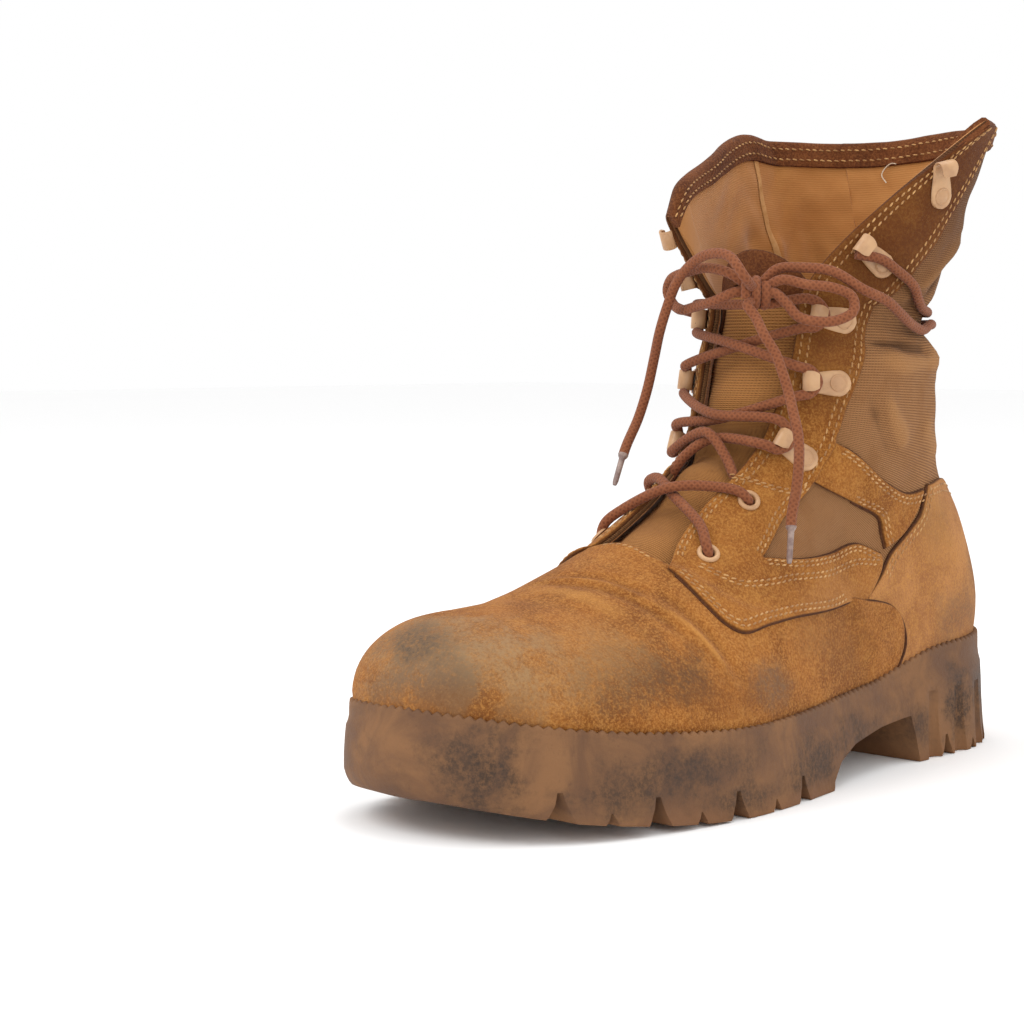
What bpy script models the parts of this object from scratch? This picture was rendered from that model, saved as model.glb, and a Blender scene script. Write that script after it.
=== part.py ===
"""Left combat boot, worn: shoe form and shaft from sections, with sole, tongue, stays, hooks and laces."""
import bpy
import bmesh
import math
import numpy as np
from mathutils import Vector
from mathutils.geometry import delaunay_2d_cdt

for thing in list(bpy.data.objects):
    bpy.data.objects.remove(thing, do_unlink=True)

# driving dimensions, millimetres; s runs from the toe tip to the heel, x to the wearer's left, z up
LENGTH = 310.0
BALL_WIDTH = 112.5
HEEL_WIDTH = 79.5
TOE_SPRING = 12.6
BALL_AT = 112.0
HEEL_REST_AT = LENGTH - 40.0
HEIGHT = 243.0
WALL = 2.0
LIP = 2.0
FEATHER_INSET = 4.2
FOOT_GAP = 0.7
OVERLAY_OFF = 1.7
OVERLAY_THICK = 1.3
INSOLE_THICK = 3.0
TONGUE_THICK = 2.0
METAL_GAP = 0.82
SOLE_FLARE = 1.8
LACE = 3.8
CORD_STEP = 2.4
EYELET_OD = 8.4
EYELET_ID = 4.6
HOOK_LENGTH = 15.5
HOOK_WIDTH = 9.5
MESH_STEP = 16.0
OVERLAY_STEP = 11.0

K_LEN = LENGTH / 310.0
K_BALL = BALL_WIDTH / 112.5
K_HEEL = HEEL_WIDTH / 79.5
K_HIGH = HEIGHT / 243.0

# plan outline of the sole: s, lateral x, medial x
OUTLINE = [
    (0, -6, -6), (4, 16, -27), (12, 30, -38), (25, 41, -45.5), (45, 51, -50), (75, 58, -52.5),
    (105, 60.5, -52), (130, 58.5, -48.5), (160, 53, -41), (190, 46.5, -35.5), (220, 42, -35.5),
    (250, 41, -38.5), (275, 38.5, -37.5), (295, 29, -29), (305, 17, -17), (310, 0, 0)]
# height of the line where the upper meets the sole, before the toe spring
FEATHER = dict(s=[0, 112, 200, 250, 320], z=[28.8, 28.8, 32.1, 41.3, 44.3])
# ridge of the shoe form: s, height, x of the ridge, arch exponents across and up
RIDGE = dict(
    s=[4.2, 6, 9, 14, 22, 33, 48, 62, 75, 90, 113, 127, 142, 158, 180, 215, 260, 306],
    z=[41, 49, 55, 60, 64.5, 67.5, 68.5, 69.5, 71.8, 76.5, 86, 95, 106, 121, 138, 142, 142, 142],
    x=[-6, -6, -6, -6, -6, -6, -6, -6, -7, -7, -7, -6, -4, -2, 0, 0, 0, 0],
    nx=[2.4, 2.4, 2.4, 2.4, 2.4, 2.4, 2.3, 2.2, 2.2, 2.1, 2.0, 2.0, 2.0, 2.1, 2.2, 2.4, 2.6, 2.6],
    nz=[2.4, 2.4, 2.4, 2.4, 2.4, 2.3, 2.2, 2.1, 2.0, 1.9, 1.75, 1.65, 1.6, 1.5, 1.5, 1.6, 1.8, 1.8])
# shaft sections: height, front s, back s, half width
SHAFT = dict(
    z=[60, 90, 103, 120, 137, 150, 160, 168, 175, 190, 262],
    front=[150, 158, 163, 168, 171, 174, 176, 178, 179, 180, 182],
    back=[303, 289, 280, 275, 274, 273, 270, 266, 267, 272, 284],
    w=[32, 34, 36, 38.5, 40.5, 40.5, 38, 35.5, 36.5, 40, 44])
SHAFT_POWER = 2.2
# how far the back of the heel leans forward with height
LEAN = dict(z=[40, 55, 70, 85, 100, 120, 150, 170], s=[1, 0, 2, 7, 14, 22, 34, 40])
BLEND = 9.0
# fan of sections: number, centre s and z, tilt in degrees; numbers under CONE are cones round the toe
CONE = 40.0
FAN = dict(
    i=[0, 40, 90, 150, 200, 240, 280, 310, 330, 420],
    s=[42, 42, 75, 128, 172, 205, 228, 235.3, 238, 241],
    z=[38, 38, 44, 54, 66, 84, 112, 143, 165, 262],
    tilt=[-90, 0, 6, 14, 28, 50, 76, 88, 88.5, 90])
# opened collar: share of the way round from the back (lateral +1, medial -1), x, s, z
CINCH_AT = 338.0
TOP_AT = 420.0
EDGE_LAT = 20.0
EDGE_MED = -22.0
COLLAR = dict(
    f=[-1.0, -0.93, -0.8, -0.48, -0.33, -0.22, 0.0, 0.2, 0.33, 0.42, 0.52, 0.66, 0.82, 1.0],
    x=[-25, -23.5, -30, -40, -41, -38, -24, -7, 6, 19, 31, 44, 55, 62.6],
    s=[162, 165, 187, 226, 240, 248, 269, 286, 290, 290, 284.5, 273, 258, 242.5],
    z=[207, 217, 227.5, 241.3, 240, 239.8, 239.4, 240.6, 242, 243, 243, 242.6, 242, 241])
COLLAR_EASE = dict(f=[-1, -0.4, 0, 0.75, 0.9, 1], p=[0.9, 0.6, 0.55, 0.55, 0.9, 1.35])
# edges of the pieces on the surface: section number, degrees from the ridge (lateral side positive)
STAY_EDGE = [
    (140, 32), (148, 26), (158, 20), (182, 15), (206, 16), (226, 16), (292, 16), (312, 19), (330, 20),
    (338, 20), (360, 20), (380, 20), (400, 20), (420, 20)]
VAMP_TOP = [(141, 22), (142, 14), (143.5, 2), (145, -10), (146, -20)]
STAY_BACK = [
    (420, 50), (400, 50), (380, 50), (356, 50), (338, 50), (330, 47), (318, 46), (308, 43), (300, 41),
    (284, 39), (262, 38), (244, 39)]
WINDOW_FRONT = [(234, 41), (206, 44), (182, 54)]
WINDOW_LOW = [(196, 62), (236, 82), (243, 104)]
QUARTER_REAR = [(244, 109), (238, 110.5), (224, 113)]
QUARTER_LOW = [(212, 101), (182, 88), (162, 84), (144, 82), (139, 76), (138.5, 64), (139, 52)]
STRAP = [
    (246, 40.1), (262, 39.1), (282, 40.2), (272, 70), (272, 102), (276, 117), (268, 118.5), (258, 112.5),
    (249, 108.5), (248, 104), (255, 86)]
COUNTER_LOW = [(222, 143), (230, 141), (232, 132), (228, 119)]
COUNTER_FRONT = [(226, 117), (238, 114.5), (248, 112.5), (258, 116.5), (268, 122.5), (277, 121)]
COUNTER_TOP = [(281, 135), (284, 158), (285, 180)]
BINDING_FROM = 409.0
EYELETS = [(160, 38), (200, 28)]
HOOKS = [(264, 27), (310, 32), (332, 32), (358, 32), (392, 32)]
# grooves in the side of the tread: s, width, depth
TREAD = [
    (30, 8, 9.5), (46, 5, 4), (64, 9, 9.5), (82, 5, 4), (100, 9, 9.5), (121, 5, 4), (140, 8, 9),
    (252, 8, 8), (272, 5, 4), (289, 8, 8)]
# underside of the waist between forefoot and heel: s, height
ARCH = [(161, -5), (164, 3), (171, 9), (184, 13.5), (205, 16.5), (228, 18), (231, 9), (233, -5)]
for table, columns in ((FEATHER, ["s"]), (RIDGE, ["s"]), (SHAFT, ["front", "back"]), (FAN, ["s"]), (COLLAR, ["s"])):
    for column in columns:
        table[column] = [value * K_LEN for value in table[column]]

# free cords as points x, s, z
KNOT_AT = np.array([13.5, 167.5, 177.7])
KNOT_SIZE = np.array([6.0, 5.9, 5.5])
CORDS = dict(
    lace_loop_left=[
        (9.0, 160.9, 178.2), (0.2, 159.8, 175.1), (-11.5, 163.0, 173.2), (-21.4, 166.0, 172.0),
        (-29.5, 170.1, 175.1), (-31.5, 169.8, 178.9), (-27.9, 167.6, 183.6), (-16.1, 164.5, 186.3),
        (-2.8, 160.4, 187.1), (7.8, 160.2, 184.5)],
    lace_loop_right=[
        (21.0, 168.2, 177.8), (25.3, 169.5, 174.2), (29.4, 171.4, 169.2), (35.9, 175.1, 167.3),
        (40.6, 180.6, 167.9), (43.7, 185.5, 171.2), (42.2, 186.5, 176.4), (37.4, 181.4, 179.6),
        (30.8, 174.7, 180.7), (22.8, 169.9, 182.5)],
    lace_end_left=[
        (15.5, 161.75, 180.2), (18.6, 153.2, 183.9), (12.7, 152.6, 190.7), (2.5, 153.9, 192.0), (-7.5, 155.9, 188.9),
        (-16.9, 158.0, 182.0), (-21.8, 158.2, 172.7), (-24.8, 157.7, 163.9), (-30.3, 161.0, 154.2),
        (-34.3, 161.6, 142.0), (-36.3, 158.9, 131.3), (-34.2, 149.3, 120.3), (-31.1, 139.7, 106.9)],
    lace_end_right=[
        (15.05, 161.2, 174.3), (15.8, 159.1, 173.2), (19.2, 159.5, 169.1), (23.7, 159.0, 162.5), (27.7, 160.7, 155.7),
        (30.2, 161.1, 149.8), (32.8, 161.7, 142.1), (36.2, 160.3, 134.6), (39.4, 159.0, 126.8),
        (41.2, 157.3, 119.1), (42.4, 154.5, 108.4), (42.6, 151.5, 98.2), (43.6, 149.8, 92.0),
        (45.0, 147.2, 82.0)])
CORD_WRAP = [
    (18.6, 172.8, 186.5), (27.0, 176.6, 187.0), (36.0, 182.9, 185.6), (43.2, 191.3, 179.3),
    (46.0, 202.9, 175.0), (44.7, 213.5, 170.4), (41.5, 225.5, 166.5), (38.2, 237.4, 164.5)]
CORD_WRAP_END = [(-42.5, 192.0, 172.5), (-42.5, 183.0, 175.5)]


def pchip(x, xp, yp):
    """Smooth curve through table points that never overshoots them."""
    xp = np.asarray(xp, float)
    yp = np.asarray(yp, float)
    x = np.clip(x, xp[0], xp[-1])
    h = np.diff(xp)
    d = np.diff(yp) / h
    m = np.zeros(len(xp))
    m[0] = d[0]
    m[-1] = d[-1]
    for k in range(1, len(xp) - 1):
        if d[k - 1] * d[k] > 0:
            w1 = 2 * h[k] + h[k - 1]
            w2 = h[k] + 2 * h[k - 1]
            m[k] = (w1 + w2) / (w1 / d[k - 1] + w2 / d[k])
    k = np.clip(np.searchsorted(xp, x) - 1, 0, len(h) - 1)
    t = (x - xp[k]) / h[k]
    low = (2 * t**3 - 3 * t * t + 1) * yp[k] + (t**3 - 2 * t * t + t) * h[k] * m[k]
    return low + (-2 * t**3 + 3 * t * t) * yp[k + 1] + (t**3 - t * t) * h[k] * m[k + 1]


def closed_spline(points, per=24):
    """Smooth closed curve through the points."""
    p = np.asarray(points, float)
    n = len(p)
    d = np.linalg.norm(np.roll(p, -1, 0) - p, axis=1) ** 0.5
    out = []
    for i in range(n):
        p0, p1, p2, p3 = p[i - 1], p[i], p[(i + 1) % n], p[(i + 2) % n]
        t1 = d[i - 1]
        t2 = t1 + d[i]
        t3 = t2 + d[(i + 1) % n]
        t = np.linspace(t1, t2, per, endpoint=False)[:, None]
        a1 = (t1 - t) / t1 * p0 + t / t1 * p1
        a2 = (t2 - t) / (t2 - t1) * p1 + (t - t1) / (t2 - t1) * p2
        a3 = (t3 - t) / (t3 - t2) * p2 + (t - t2) / (t3 - t2) * p3
        b1 = (t2 - t) / t2 * a1 + t / t2 * a2
        b2 = (t3 - t) / (t3 - t1) * a2 + (t - t1) / (t3 - t1) * a3
        out.append((t2 - t) / (t2 - t1) * b1 + (t - t1) / (t2 - t1) * b2)
    return np.concatenate(out)


def outline_loop(inset=0.0):
    """Plan outline (x, s) moved inward; it starts at the toe and runs down the lateral side."""
    k = [K_BALL + (K_HEEL - K_BALL) * min(max((r[0] - 150) / 70, 0), 1) for r in OUTLINE]
    lat = [(r[1] * f, r[0] * K_LEN) for r, f in zip(OUTLINE, k)]
    med = [(r[2] * f, r[0] * K_LEN) for r, f in zip(OUTLINE, k)][1:-1][::-1]
    c = closed_spline(lat + med)
    t = np.roll(c, -1, 0) - np.roll(c, 1, 0)
    t /= np.linalg.norm(t, axis=1)[:, None]
    n = np.stack([-t[:, 1], t[:, 0]], 1)
    if ((np.array([0, 155.0]) - c) * n).sum() < 0:
        n = -n
    return c + n * inset


def branches(loop):
    """The lateral and the medial side of a closed outline, each from toe to heel."""
    k0 = int(np.argmin(loop[:, 1]))
    k1 = int(np.argmax(loop[:, 1]))
    n = len(loop)
    a = loop[[(k0 + j) % n for j in range((k1 - k0) % n + 1)]]
    b = loop[[(k1 + j) % n for j in range((k0 - k1) % n + 1)]][::-1]
    return (a, b) if a[:, 0].mean() > b[:, 0].mean() else (b, a)


def spring(s):
    """Rise of the forefoot in front of the ball."""
    return TOE_SPRING * (np.clip(BALL_AT - s, 0, None) / BALL_AT) ** 1.8


def feather(s):
    """Height of the sole's top edge."""
    return pchip(s, FEATHER["s"], FEATHER["z"]) + spring(s)


UPPER_PLAN = branches(outline_loop(FEATHER_INSET))


def shoe_distance(x, s, z):
    """Roughly the distance outside the shoe part of the form."""
    lateral, medial = UPPER_PLAN
    se = s + pchip(z, LEAN["z"], LEAN["s"]) * np.clip((s / K_LEN - 180) / 90, 0, 1)
    inside = (se > lateral[0, 1]) & (se < lateral[-1, 1])
    lat = np.interp(se, lateral[:, 1], lateral[:, 0])
    med = np.interp(se, medial[:, 1], medial[:, 0])
    low = feather(s)
    h = np.maximum(pchip(s, RIDGE["s"], RIDGE["z"]) * K_HIGH - low, 0.5)
    q = np.clip((z - low) / h, 0, None)
    middle = (lat + med) / 2
    w = np.maximum((lat - med) / 2, 0.05)
    xc = middle + (pchip(s, RIDGE["s"], RIDGE["x"]) - middle) * np.clip(q, 0, 1) ** 1.5
    u = np.clip(q / 0.25, 0, 1)
    w = w * (0.97 + 0.035 * u * (2 - u))
    g = (np.abs(x - xc) / w) ** pchip(s, RIDGE["s"], RIDGE["nx"]) + q ** pchip(s, RIDGE["s"], RIDGE["nz"])
    return np.where(inside, (g ** 0.5 - 1) * 38.0, 60.0)


def shaft_distance(x, s, z):
    """Roughly the distance outside the shaft part of the form."""
    front = pchip(z / K_HIGH, SHAFT["z"], SHAFT["front"])
    back = pchip(z / K_HIGH, SHAFT["z"], SHAFT["back"])
    w = pchip(z / K_HIGH, SHAFT["z"], SHAFT["w"])
    n = SHAFT_POWER
    g = (np.abs(x) / w) ** n + (np.abs(s - (front + back) / 2) / ((back - front) / 2)) ** n
    return (g ** (1 / n) - 1) * w


def form(x, s, z):
    """Shoe and shaft as one smooth body: negative inside."""
    a = shoe_distance(x, s, z)
    b = shaft_distance(x, s, z)
    h = np.clip(0.5 + 0.5 * (b - a) / BLEND, 0, 1)
    return b + (a - b) * h - BLEND * h * (1 - h)


def fan_exact(i, a):
    """Where the ray of fan section i at angle a (degrees from the ridge) leaves the form."""
    i, a = np.broadcast_arrays(np.asarray(i, float), np.radians(np.asarray(a, float)))
    s0 = pchip(i, FAN["i"], FAN["s"])
    z0 = pchip(i, FAN["i"], FAN["z"]) * K_HIGH
    tilt = np.radians(np.where(i < CONE, 0.0, pchip(i, FAN["i"], FAN["tilt"])))
    cone = np.radians(np.clip(i / CONE, 0, 1) * 90)
    dx = np.sin(cone) * np.sin(a)
    ds = -np.cos(cone) - np.sin(cone) * np.cos(a) * np.sin(tilt)
    dz = np.sin(cone) * np.cos(a) * np.cos(tilt)
    low = np.full(i.shape, 4.0)
    high = np.full(i.shape, 190.0)
    found = np.zeros(i.shape, bool)
    steps = np.linspace(4, 190, 48)
    for r0, r1 in zip(steps[:-1], steps[1:]):
        out = (form(dx * r1, s0 + ds * r1, z0 + dz * r1) > 0) & ~found
        low = np.where(out, r0, low)
        high = np.where(out, r1, high)
        found |= out
    for _ in range(22):
        m = (low + high) / 2
        out = form(dx * m, s0 + ds * m, z0 + dz * m) > 0
        low = np.where(out, low, m)
        high = np.where(out, m, high)
    r = (low + high) / 2
    return np.stack([dx * r, s0 + ds * r, z0 + dz * r], -1)


GRID_STEP = 4.0
GRID = fan_exact(np.arange(0, 405, GRID_STEP)[:, None], np.arange(-180, 180, GRID_STEP)[None, :])


def fan_point(i, a):
    """The form by smooth interpolation in a grid of exact points."""
    i, a = np.broadcast_arrays(np.asarray(i, float), np.asarray(a, float))
    u = np.clip(i / GRID_STEP, 0, GRID.shape[0] - 1.001)
    v = ((a + 180.0) % 360.0) / GRID_STEP
    k = np.floor(u).astype(int)
    j = np.floor(v).astype(int)

    def weights(t):
        return [-0.5 * t + t * t - 0.5 * t**3, 1 - 2.5 * t * t + 1.5 * t**3,
                0.5 * t + 2 * t * t - 1.5 * t**3, -0.5 * t * t + 0.5 * t**3]
    wu = weights(u - k)
    wv = weights(v - j)
    out = 0
    for c in range(4):
        row = np.clip(k + c - 1, 0, GRID.shape[0] - 1)
        for d in range(4):
            out = out + (wu[c] * wv[d])[..., None] * GRID[row, (j + d - 1) % GRID.shape[1]]
    return out


def surface(i, a):
    """Outer surface of the upper: the form, and above the cinch the collar pulled open."""
    i, a = np.broadcast_arrays(np.asarray(i, float), np.asarray(a, float))
    base = fan_point(np.minimum(i, CINCH_AT), a)
    v = np.clip((i - CINCH_AT) / (TOP_AT - CINCH_AT), 0, 1)
    f = np.where(a >= 0, (180 - a) / (180 - EDGE_LAT), (-180 - a) / (180 + EDGE_MED))
    f = np.clip(f, -1, 1)
    top = np.stack([pchip(f, COLLAR["f"], COLLAR[k]) for k in "xsz"], -1)
    top[..., 2] *= K_HIGH
    h = (v ** pchip(f, COLLAR_EASE["f"], COLLAR_EASE["p"]))[..., None]
    out = base * (1 - h) + top * h
    out[..., 2] = base[..., 2] + (top[..., 2] - base[..., 2]) * v
    return np.where((i > CINCH_AT)[..., None], out, base)


def normals(i, a, shape=surface):
    """Unit outward normals of the surface."""
    i = np.asarray(i, float)
    a = np.asarray(a, float)
    di = np.where(i + 1.5 > TOP_AT, -1.5, 1.5)
    p = shape(i, a)
    u = (shape(i + di, a) - p) * np.sign(di)[..., None]
    v = shape(i, a + 2.0) - shape(i, a - 2.0)
    n = np.cross(v, u)
    n /= np.linalg.norm(n, axis=-1)[..., None] + 1e-9
    return n


def girth(i):
    """Radius that turns section angles into a chart close to true size."""
    return 46.0 * np.sin(np.clip(np.asarray(i, float) / 60, 0.08, 1) * np.pi / 2)


def resample(points, step):
    """Polyline in chart numbers with points no further apart than the step."""
    out = []
    for p, q in zip(points[:-1], points[1:]):
        pa = np.array([p[0], math.radians(p[1]) * girth(p[0])])
        qa = np.array([q[0], math.radians(q[1]) * girth(q[0])])
        n = max(1, int(math.ceil(np.linalg.norm(qa - pa) / step)))
        for k in range(n):
            t = k / n
            out.append((p[0] + (q[0] - p[0]) * t, p[1] + (q[1] - p[1]) * t))
    out.append(points[-1])
    return out


def in_polygon(points, polygon):
    """Which points lie inside the polygon."""
    x, y = points[:, 0], points[:, 1]
    inside = np.zeros(len(points), bool)
    for (x0, y0), (x1, y1) in zip(polygon, np.roll(polygon, -1, 0)):
        cross = (y0 > y) != (y1 > y)
        if y1 != y0:
            inside ^= cross & (x < (x1 - x0) * (y - y0) / (y1 - y0) + x0)
    return inside


def triangulate(border, inner, step=MESH_STEP):
    """Triangles of a polygon with inner points; border corners keep their numbers."""
    border = np.asarray(border, float)
    inner = np.asarray(inner, float).reshape(-1, 2)
    keep = in_polygon(inner, border) if len(inner) else np.zeros(0, bool)
    inner = inner[keep]
    if len(inner):
        d = np.full(len(inner), 1e9)
        for p, q in zip(border, np.roll(border, -1, 0)):
            e = q - p
            t = np.clip(((inner - p) @ e) / max(e @ e, 1e-9), 0, 1)
            d = np.minimum(d, np.linalg.norm(inner - (p + t[:, None] * e), axis=1))
        inner = inner[d > step * np.where(inner[:, 0] < 60, 0.25, 0.42)]
    n = len(border)
    points = [Vector(p) for p in np.concatenate([border, inner])]
    edges = [(k, (k + 1) % n) for k in range(n)]
    result = delaunay_2d_cdt(points, edges, [], 0, 1e-7)
    v = np.array([tuple(p) for p in result[0]])
    source = [o[0] if o else -1 for o in result[3]]
    faces = []
    for f in result[2]:
        c = v[list(f)]
        area = abs((c[1, 0] - c[0, 0]) * (c[2, 1] - c[0, 1]) - (c[2, 0] - c[0, 0]) * (c[1, 1] - c[0, 1]))
        if area > 1e-3 and in_polygon(c.mean(0)[None], border)[0]:
            faces.append([source[k] for k in f])
    return np.concatenate([border, inner]), faces


def chart_lattice(step, low=0.0, high=TOP_AT, around=1):
    """Inner points for pieces laid on the surface."""
    out = []
    i = low + 5.0
    row = 0
    while i < high:
        fine = min(step, 8.0) if i < 60 else step
        r = float(girth(i))
        m = int(math.pi * r / fine)
        shift = 0.5 if row % 2 else 0.0
        out += [(i, math.degrees((k + shift) * fine / r)) for k in range(-m - 1, around * m + 2)]
        i += fine * (0.5 if 195 < i < 300 else 0.85)
        row += 1
    return out


def to_chart(points):
    return np.array([(p[0], math.radians(p[1]) * float(girth(p[0]))) for p in points])


def from_chart(v):
    return v[:, 0], np.degrees(v[:, 1] / girth(v[:, 0]))


def metres(points):
    p = np.asarray(points, float)
    return np.stack([p[:, 0], p[:, 1] - HEEL_REST_AT, p[:, 2]], 1) * 0.001


def material(name, colour, rough, metal=0.0):
    m = bpy.data.materials.new(name)
    m.use_nodes = True
    shader = m.node_tree.nodes["Principled BSDF"]
    shader.inputs["Base Color"].default_value = (*colour, 1.0)
    shader.inputs["Roughness"].default_value = rough
    shader.inputs["Metallic"].default_value = metal
    return m


RUBBER = material("sole rubber", (0.20, 0.115, 0.062), 0.75)
SUEDE = material("suede", (0.36, 0.17, 0.055), 0.9)
NYLON = material("nylon cloth", (0.24, 0.145, 0.075), 0.85)
LINING = material("lining", (0.50, 0.31, 0.15), 0.9)
PAINT = material("enamelled metal", (0.66, 0.49, 0.32), 0.4)
LACE_CLOTH = material("lace cloth", (0.22, 0.085, 0.045), 0.85)
INSOLE_CLOTH = material("insole cloth", (0.30, 0.20, 0.12), 0.9)


def make(name, points, faces, mat, scale=True):
    """One named object from points in millimetres."""
    mesh = bpy.data.meshes.new(name)
    mesh.from_pydata([tuple(p) for p in (metres(points) if scale else points)], [], faces)
    mesh.materials.append(mat)
    ob = bpy.data.objects.new(name, mesh)
    bpy.context.scene.collection.objects.link(ob)
    bm = bmesh.new()
    bm.from_mesh(mesh)
    bmesh.ops.remove_doubles(bm, verts=bm.verts, dist=2e-6)
    bmesh.ops.recalc_face_normals(bm, faces=bm.faces)
    if bm.calc_volume(signed=True) < 0:
        bmesh.ops.reverse_faces(bm, faces=bm.faces)
    bm.to_mesh(mesh)
    bm.free()
    return ob


def shell(low, high, faces, border):
    """Closed body between two copies of the same triangles."""
    n = len(low)
    out = [tuple(f) for f in faces] + [tuple(k + n for k in f)[::-1] for f in faces]
    for k in range(border):
        j = (k + 1) % border
        out += [(k, j, j + n), (k, j + n, k + n)]
    return np.concatenate([low, high]), out


def laid(name, border, low, high, mat, step=OVERLAY_STEP, shape=surface):
    """Piece of even thickness laid along the surface between two offsets."""
    border = resample(border + [border[0]], step)[:-1]
    around = 2 if shape is wrapped else 1
    v, faces = triangulate(to_chart(border), to_chart(chart_lattice(step, around=around)), step)
    i, a = from_chart(v)
    p = shape(i, a)
    n = normals(i, a, shape)
    return make(name, *shell(p + n * low, p + n * high, faces, len(border)), mat)


def cut(ob, cutters, how="DIFFERENCE"):
    """Exact Boolean with each cutter in turn."""
    for cutter in cutters:
        mod = ob.modifiers.new("cut", "BOOLEAN")
        mod.operation = how
        mod.solver = "EXACT"
        mod.object = cutter
        bpy.context.view_layer.update()
        mesh = bpy.data.meshes.new_from_object(ob.evaluated_get(bpy.context.evaluated_depsgraph_get()))
        ob.modifiers.clear()
        ob.data = mesh
        bpy.data.objects.remove(cutter, do_unlink=True)


def prism(corners, direction):
    """Closed prism from a ring of corners swept by a vector, millimetres."""
    c = np.asarray(corners, float)
    n = len(c)
    faces = [tuple(range(n)), tuple(range(2 * n - 1, n - 1, -1))]
    faces += [(k, (k + 1) % n, (k + 1) % n + n, k + n) for k in range(n)]
    return make("cutter", np.concatenate([c, c + np.asarray(direction, float)]), faces, RUBBER)


LOOK_I = np.arange(0, TOP_AT + 0.1, 3.0)
LOOK_A = np.arange(-180, 180.1, 3.0)
LOOKUP = (LOOK_I, LOOK_A, surface(LOOK_I[:, None], LOOK_A[None, :]))


def build_outsole():
    """Rubber sole: outline, toe spring, side flare, arch, heel breast, side lugs and channels."""
    count = 76
    top = outline_loop(LIP)
    mid = outline_loop(-0.4)
    bottom = outline_loop(-SOLE_FLARE)
    seg = np.linalg.norm(np.diff(np.vstack([mid, mid[:1]]), axis=0), axis=1)
    along = np.concatenate([[0], np.cumsum(seg)[:-1]]) / seg.sum()
    pick = np.searchsorted(along, np.linspace(0, 1, count, endpoint=False)).clip(0, len(mid) - 1)
    inner = [(x, s * K_LEN) for s in np.arange(12, 300, 16.0) for x in (-30, -10, 10, 30)]
    rings = []
    for loop, share in ((bottom, 0.0), (mid, 0.35), (top, 0.93), (top, 1.0)):
        p = loop[pick]
        low = spring(p[:, 1])
        high = feather(p[:, 1])
        rings.append(np.column_stack([p, low + (high - low) * share]))
    rings[2][:, :2] = outline_loop(LIP - 0.7)[pick]
    v, faces = triangulate(rings[0][:, :2], inner)
    extra = v[count:]
    low = np.column_stack([extra, spring(extra[:, 1])])
    high = np.column_stack([extra * np.array([0.96, 1.0]), feather(extra[:, 1])])
    points = np.concatenate(rings + [low, high])
    base = 4 * count
    m = len(extra)
    out = [tuple(k if k < count else base + k - count for k in f) for f in faces]
    out += [tuple(3 * count + k if k < count else base + m + k - count for k in f)[::-1] for f in faces]
    for r in range(3):
        for k in range(count):
            j = (k + 1) % count
            a, b = r * count + k, r * count + j
            out.append((a, b, b + count, a + count))
    sole = make("outsole", points, out, RUBBER)
    cutters = [prism([(-90, s * K_LEN, z) for s, z in ARCH], (180, 0, 0))]
    lat, med = branches(outline_loop(0))
    for share, wide, deep in TREAD:
        s = share * K_LEN
        for side, plan in ((1, lat), (-1, med)):
            x = float(np.interp(s, plan[:, 1], plan[:, 0]))
            z0 = float(spring(s))
            reach = 13.0 if deep > 6 else 7.0
            section = [(s - wide / 2, z0 - 4), (s - wide * 0.16, z0 + deep), (s + wide * 0.16, z0 + deep),
                       (s + wide / 2, z0 - 4)]
            c = [(x - side * reach, q, z) for q, z in section]
            cutters.append(prism(c, (side * (reach + 14), 0, 0)))
            if deep > 6:
                c = [(x - side * (reach - 1), q, z) for q, z in
                     [(s - 3, z0 - 4), (s - 1.9, z0 + 4.5), (s + 1.9, z0 + 4.5), (s + 3, z0 - 4)]]
                inward = -side * (abs(x) - reach - 5)
                cutters.append(prism(c, (inward, 0, 0)))
    cut(sole, cutters)
    return sole


def plan_slab(name, loop, low, high, mat, step=14.0):
    """Slab with a plan outline between two height functions of s."""
    seg = np.linalg.norm(np.diff(np.vstack([loop, loop[:1]]), axis=0), axis=1)
    along = np.concatenate([[0], np.cumsum(seg)[:-1]])
    n = int(seg.sum() / (step * 0.6))
    border = loop[np.searchsorted(along, np.linspace(0, seg.sum(), n, endpoint=False)).clip(0, len(loop) - 1)]
    inner = [(x, s) for s in np.arange(10, 305, step) for x in np.arange(-42, 43, step)]
    v, faces = triangulate(border, inner)
    a = np.column_stack([v, low(v[:, 1])])
    b = np.column_stack([v, high(v[:, 1])])
    return make(name, *shell(a, b, faces, len(border)), mat)


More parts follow.
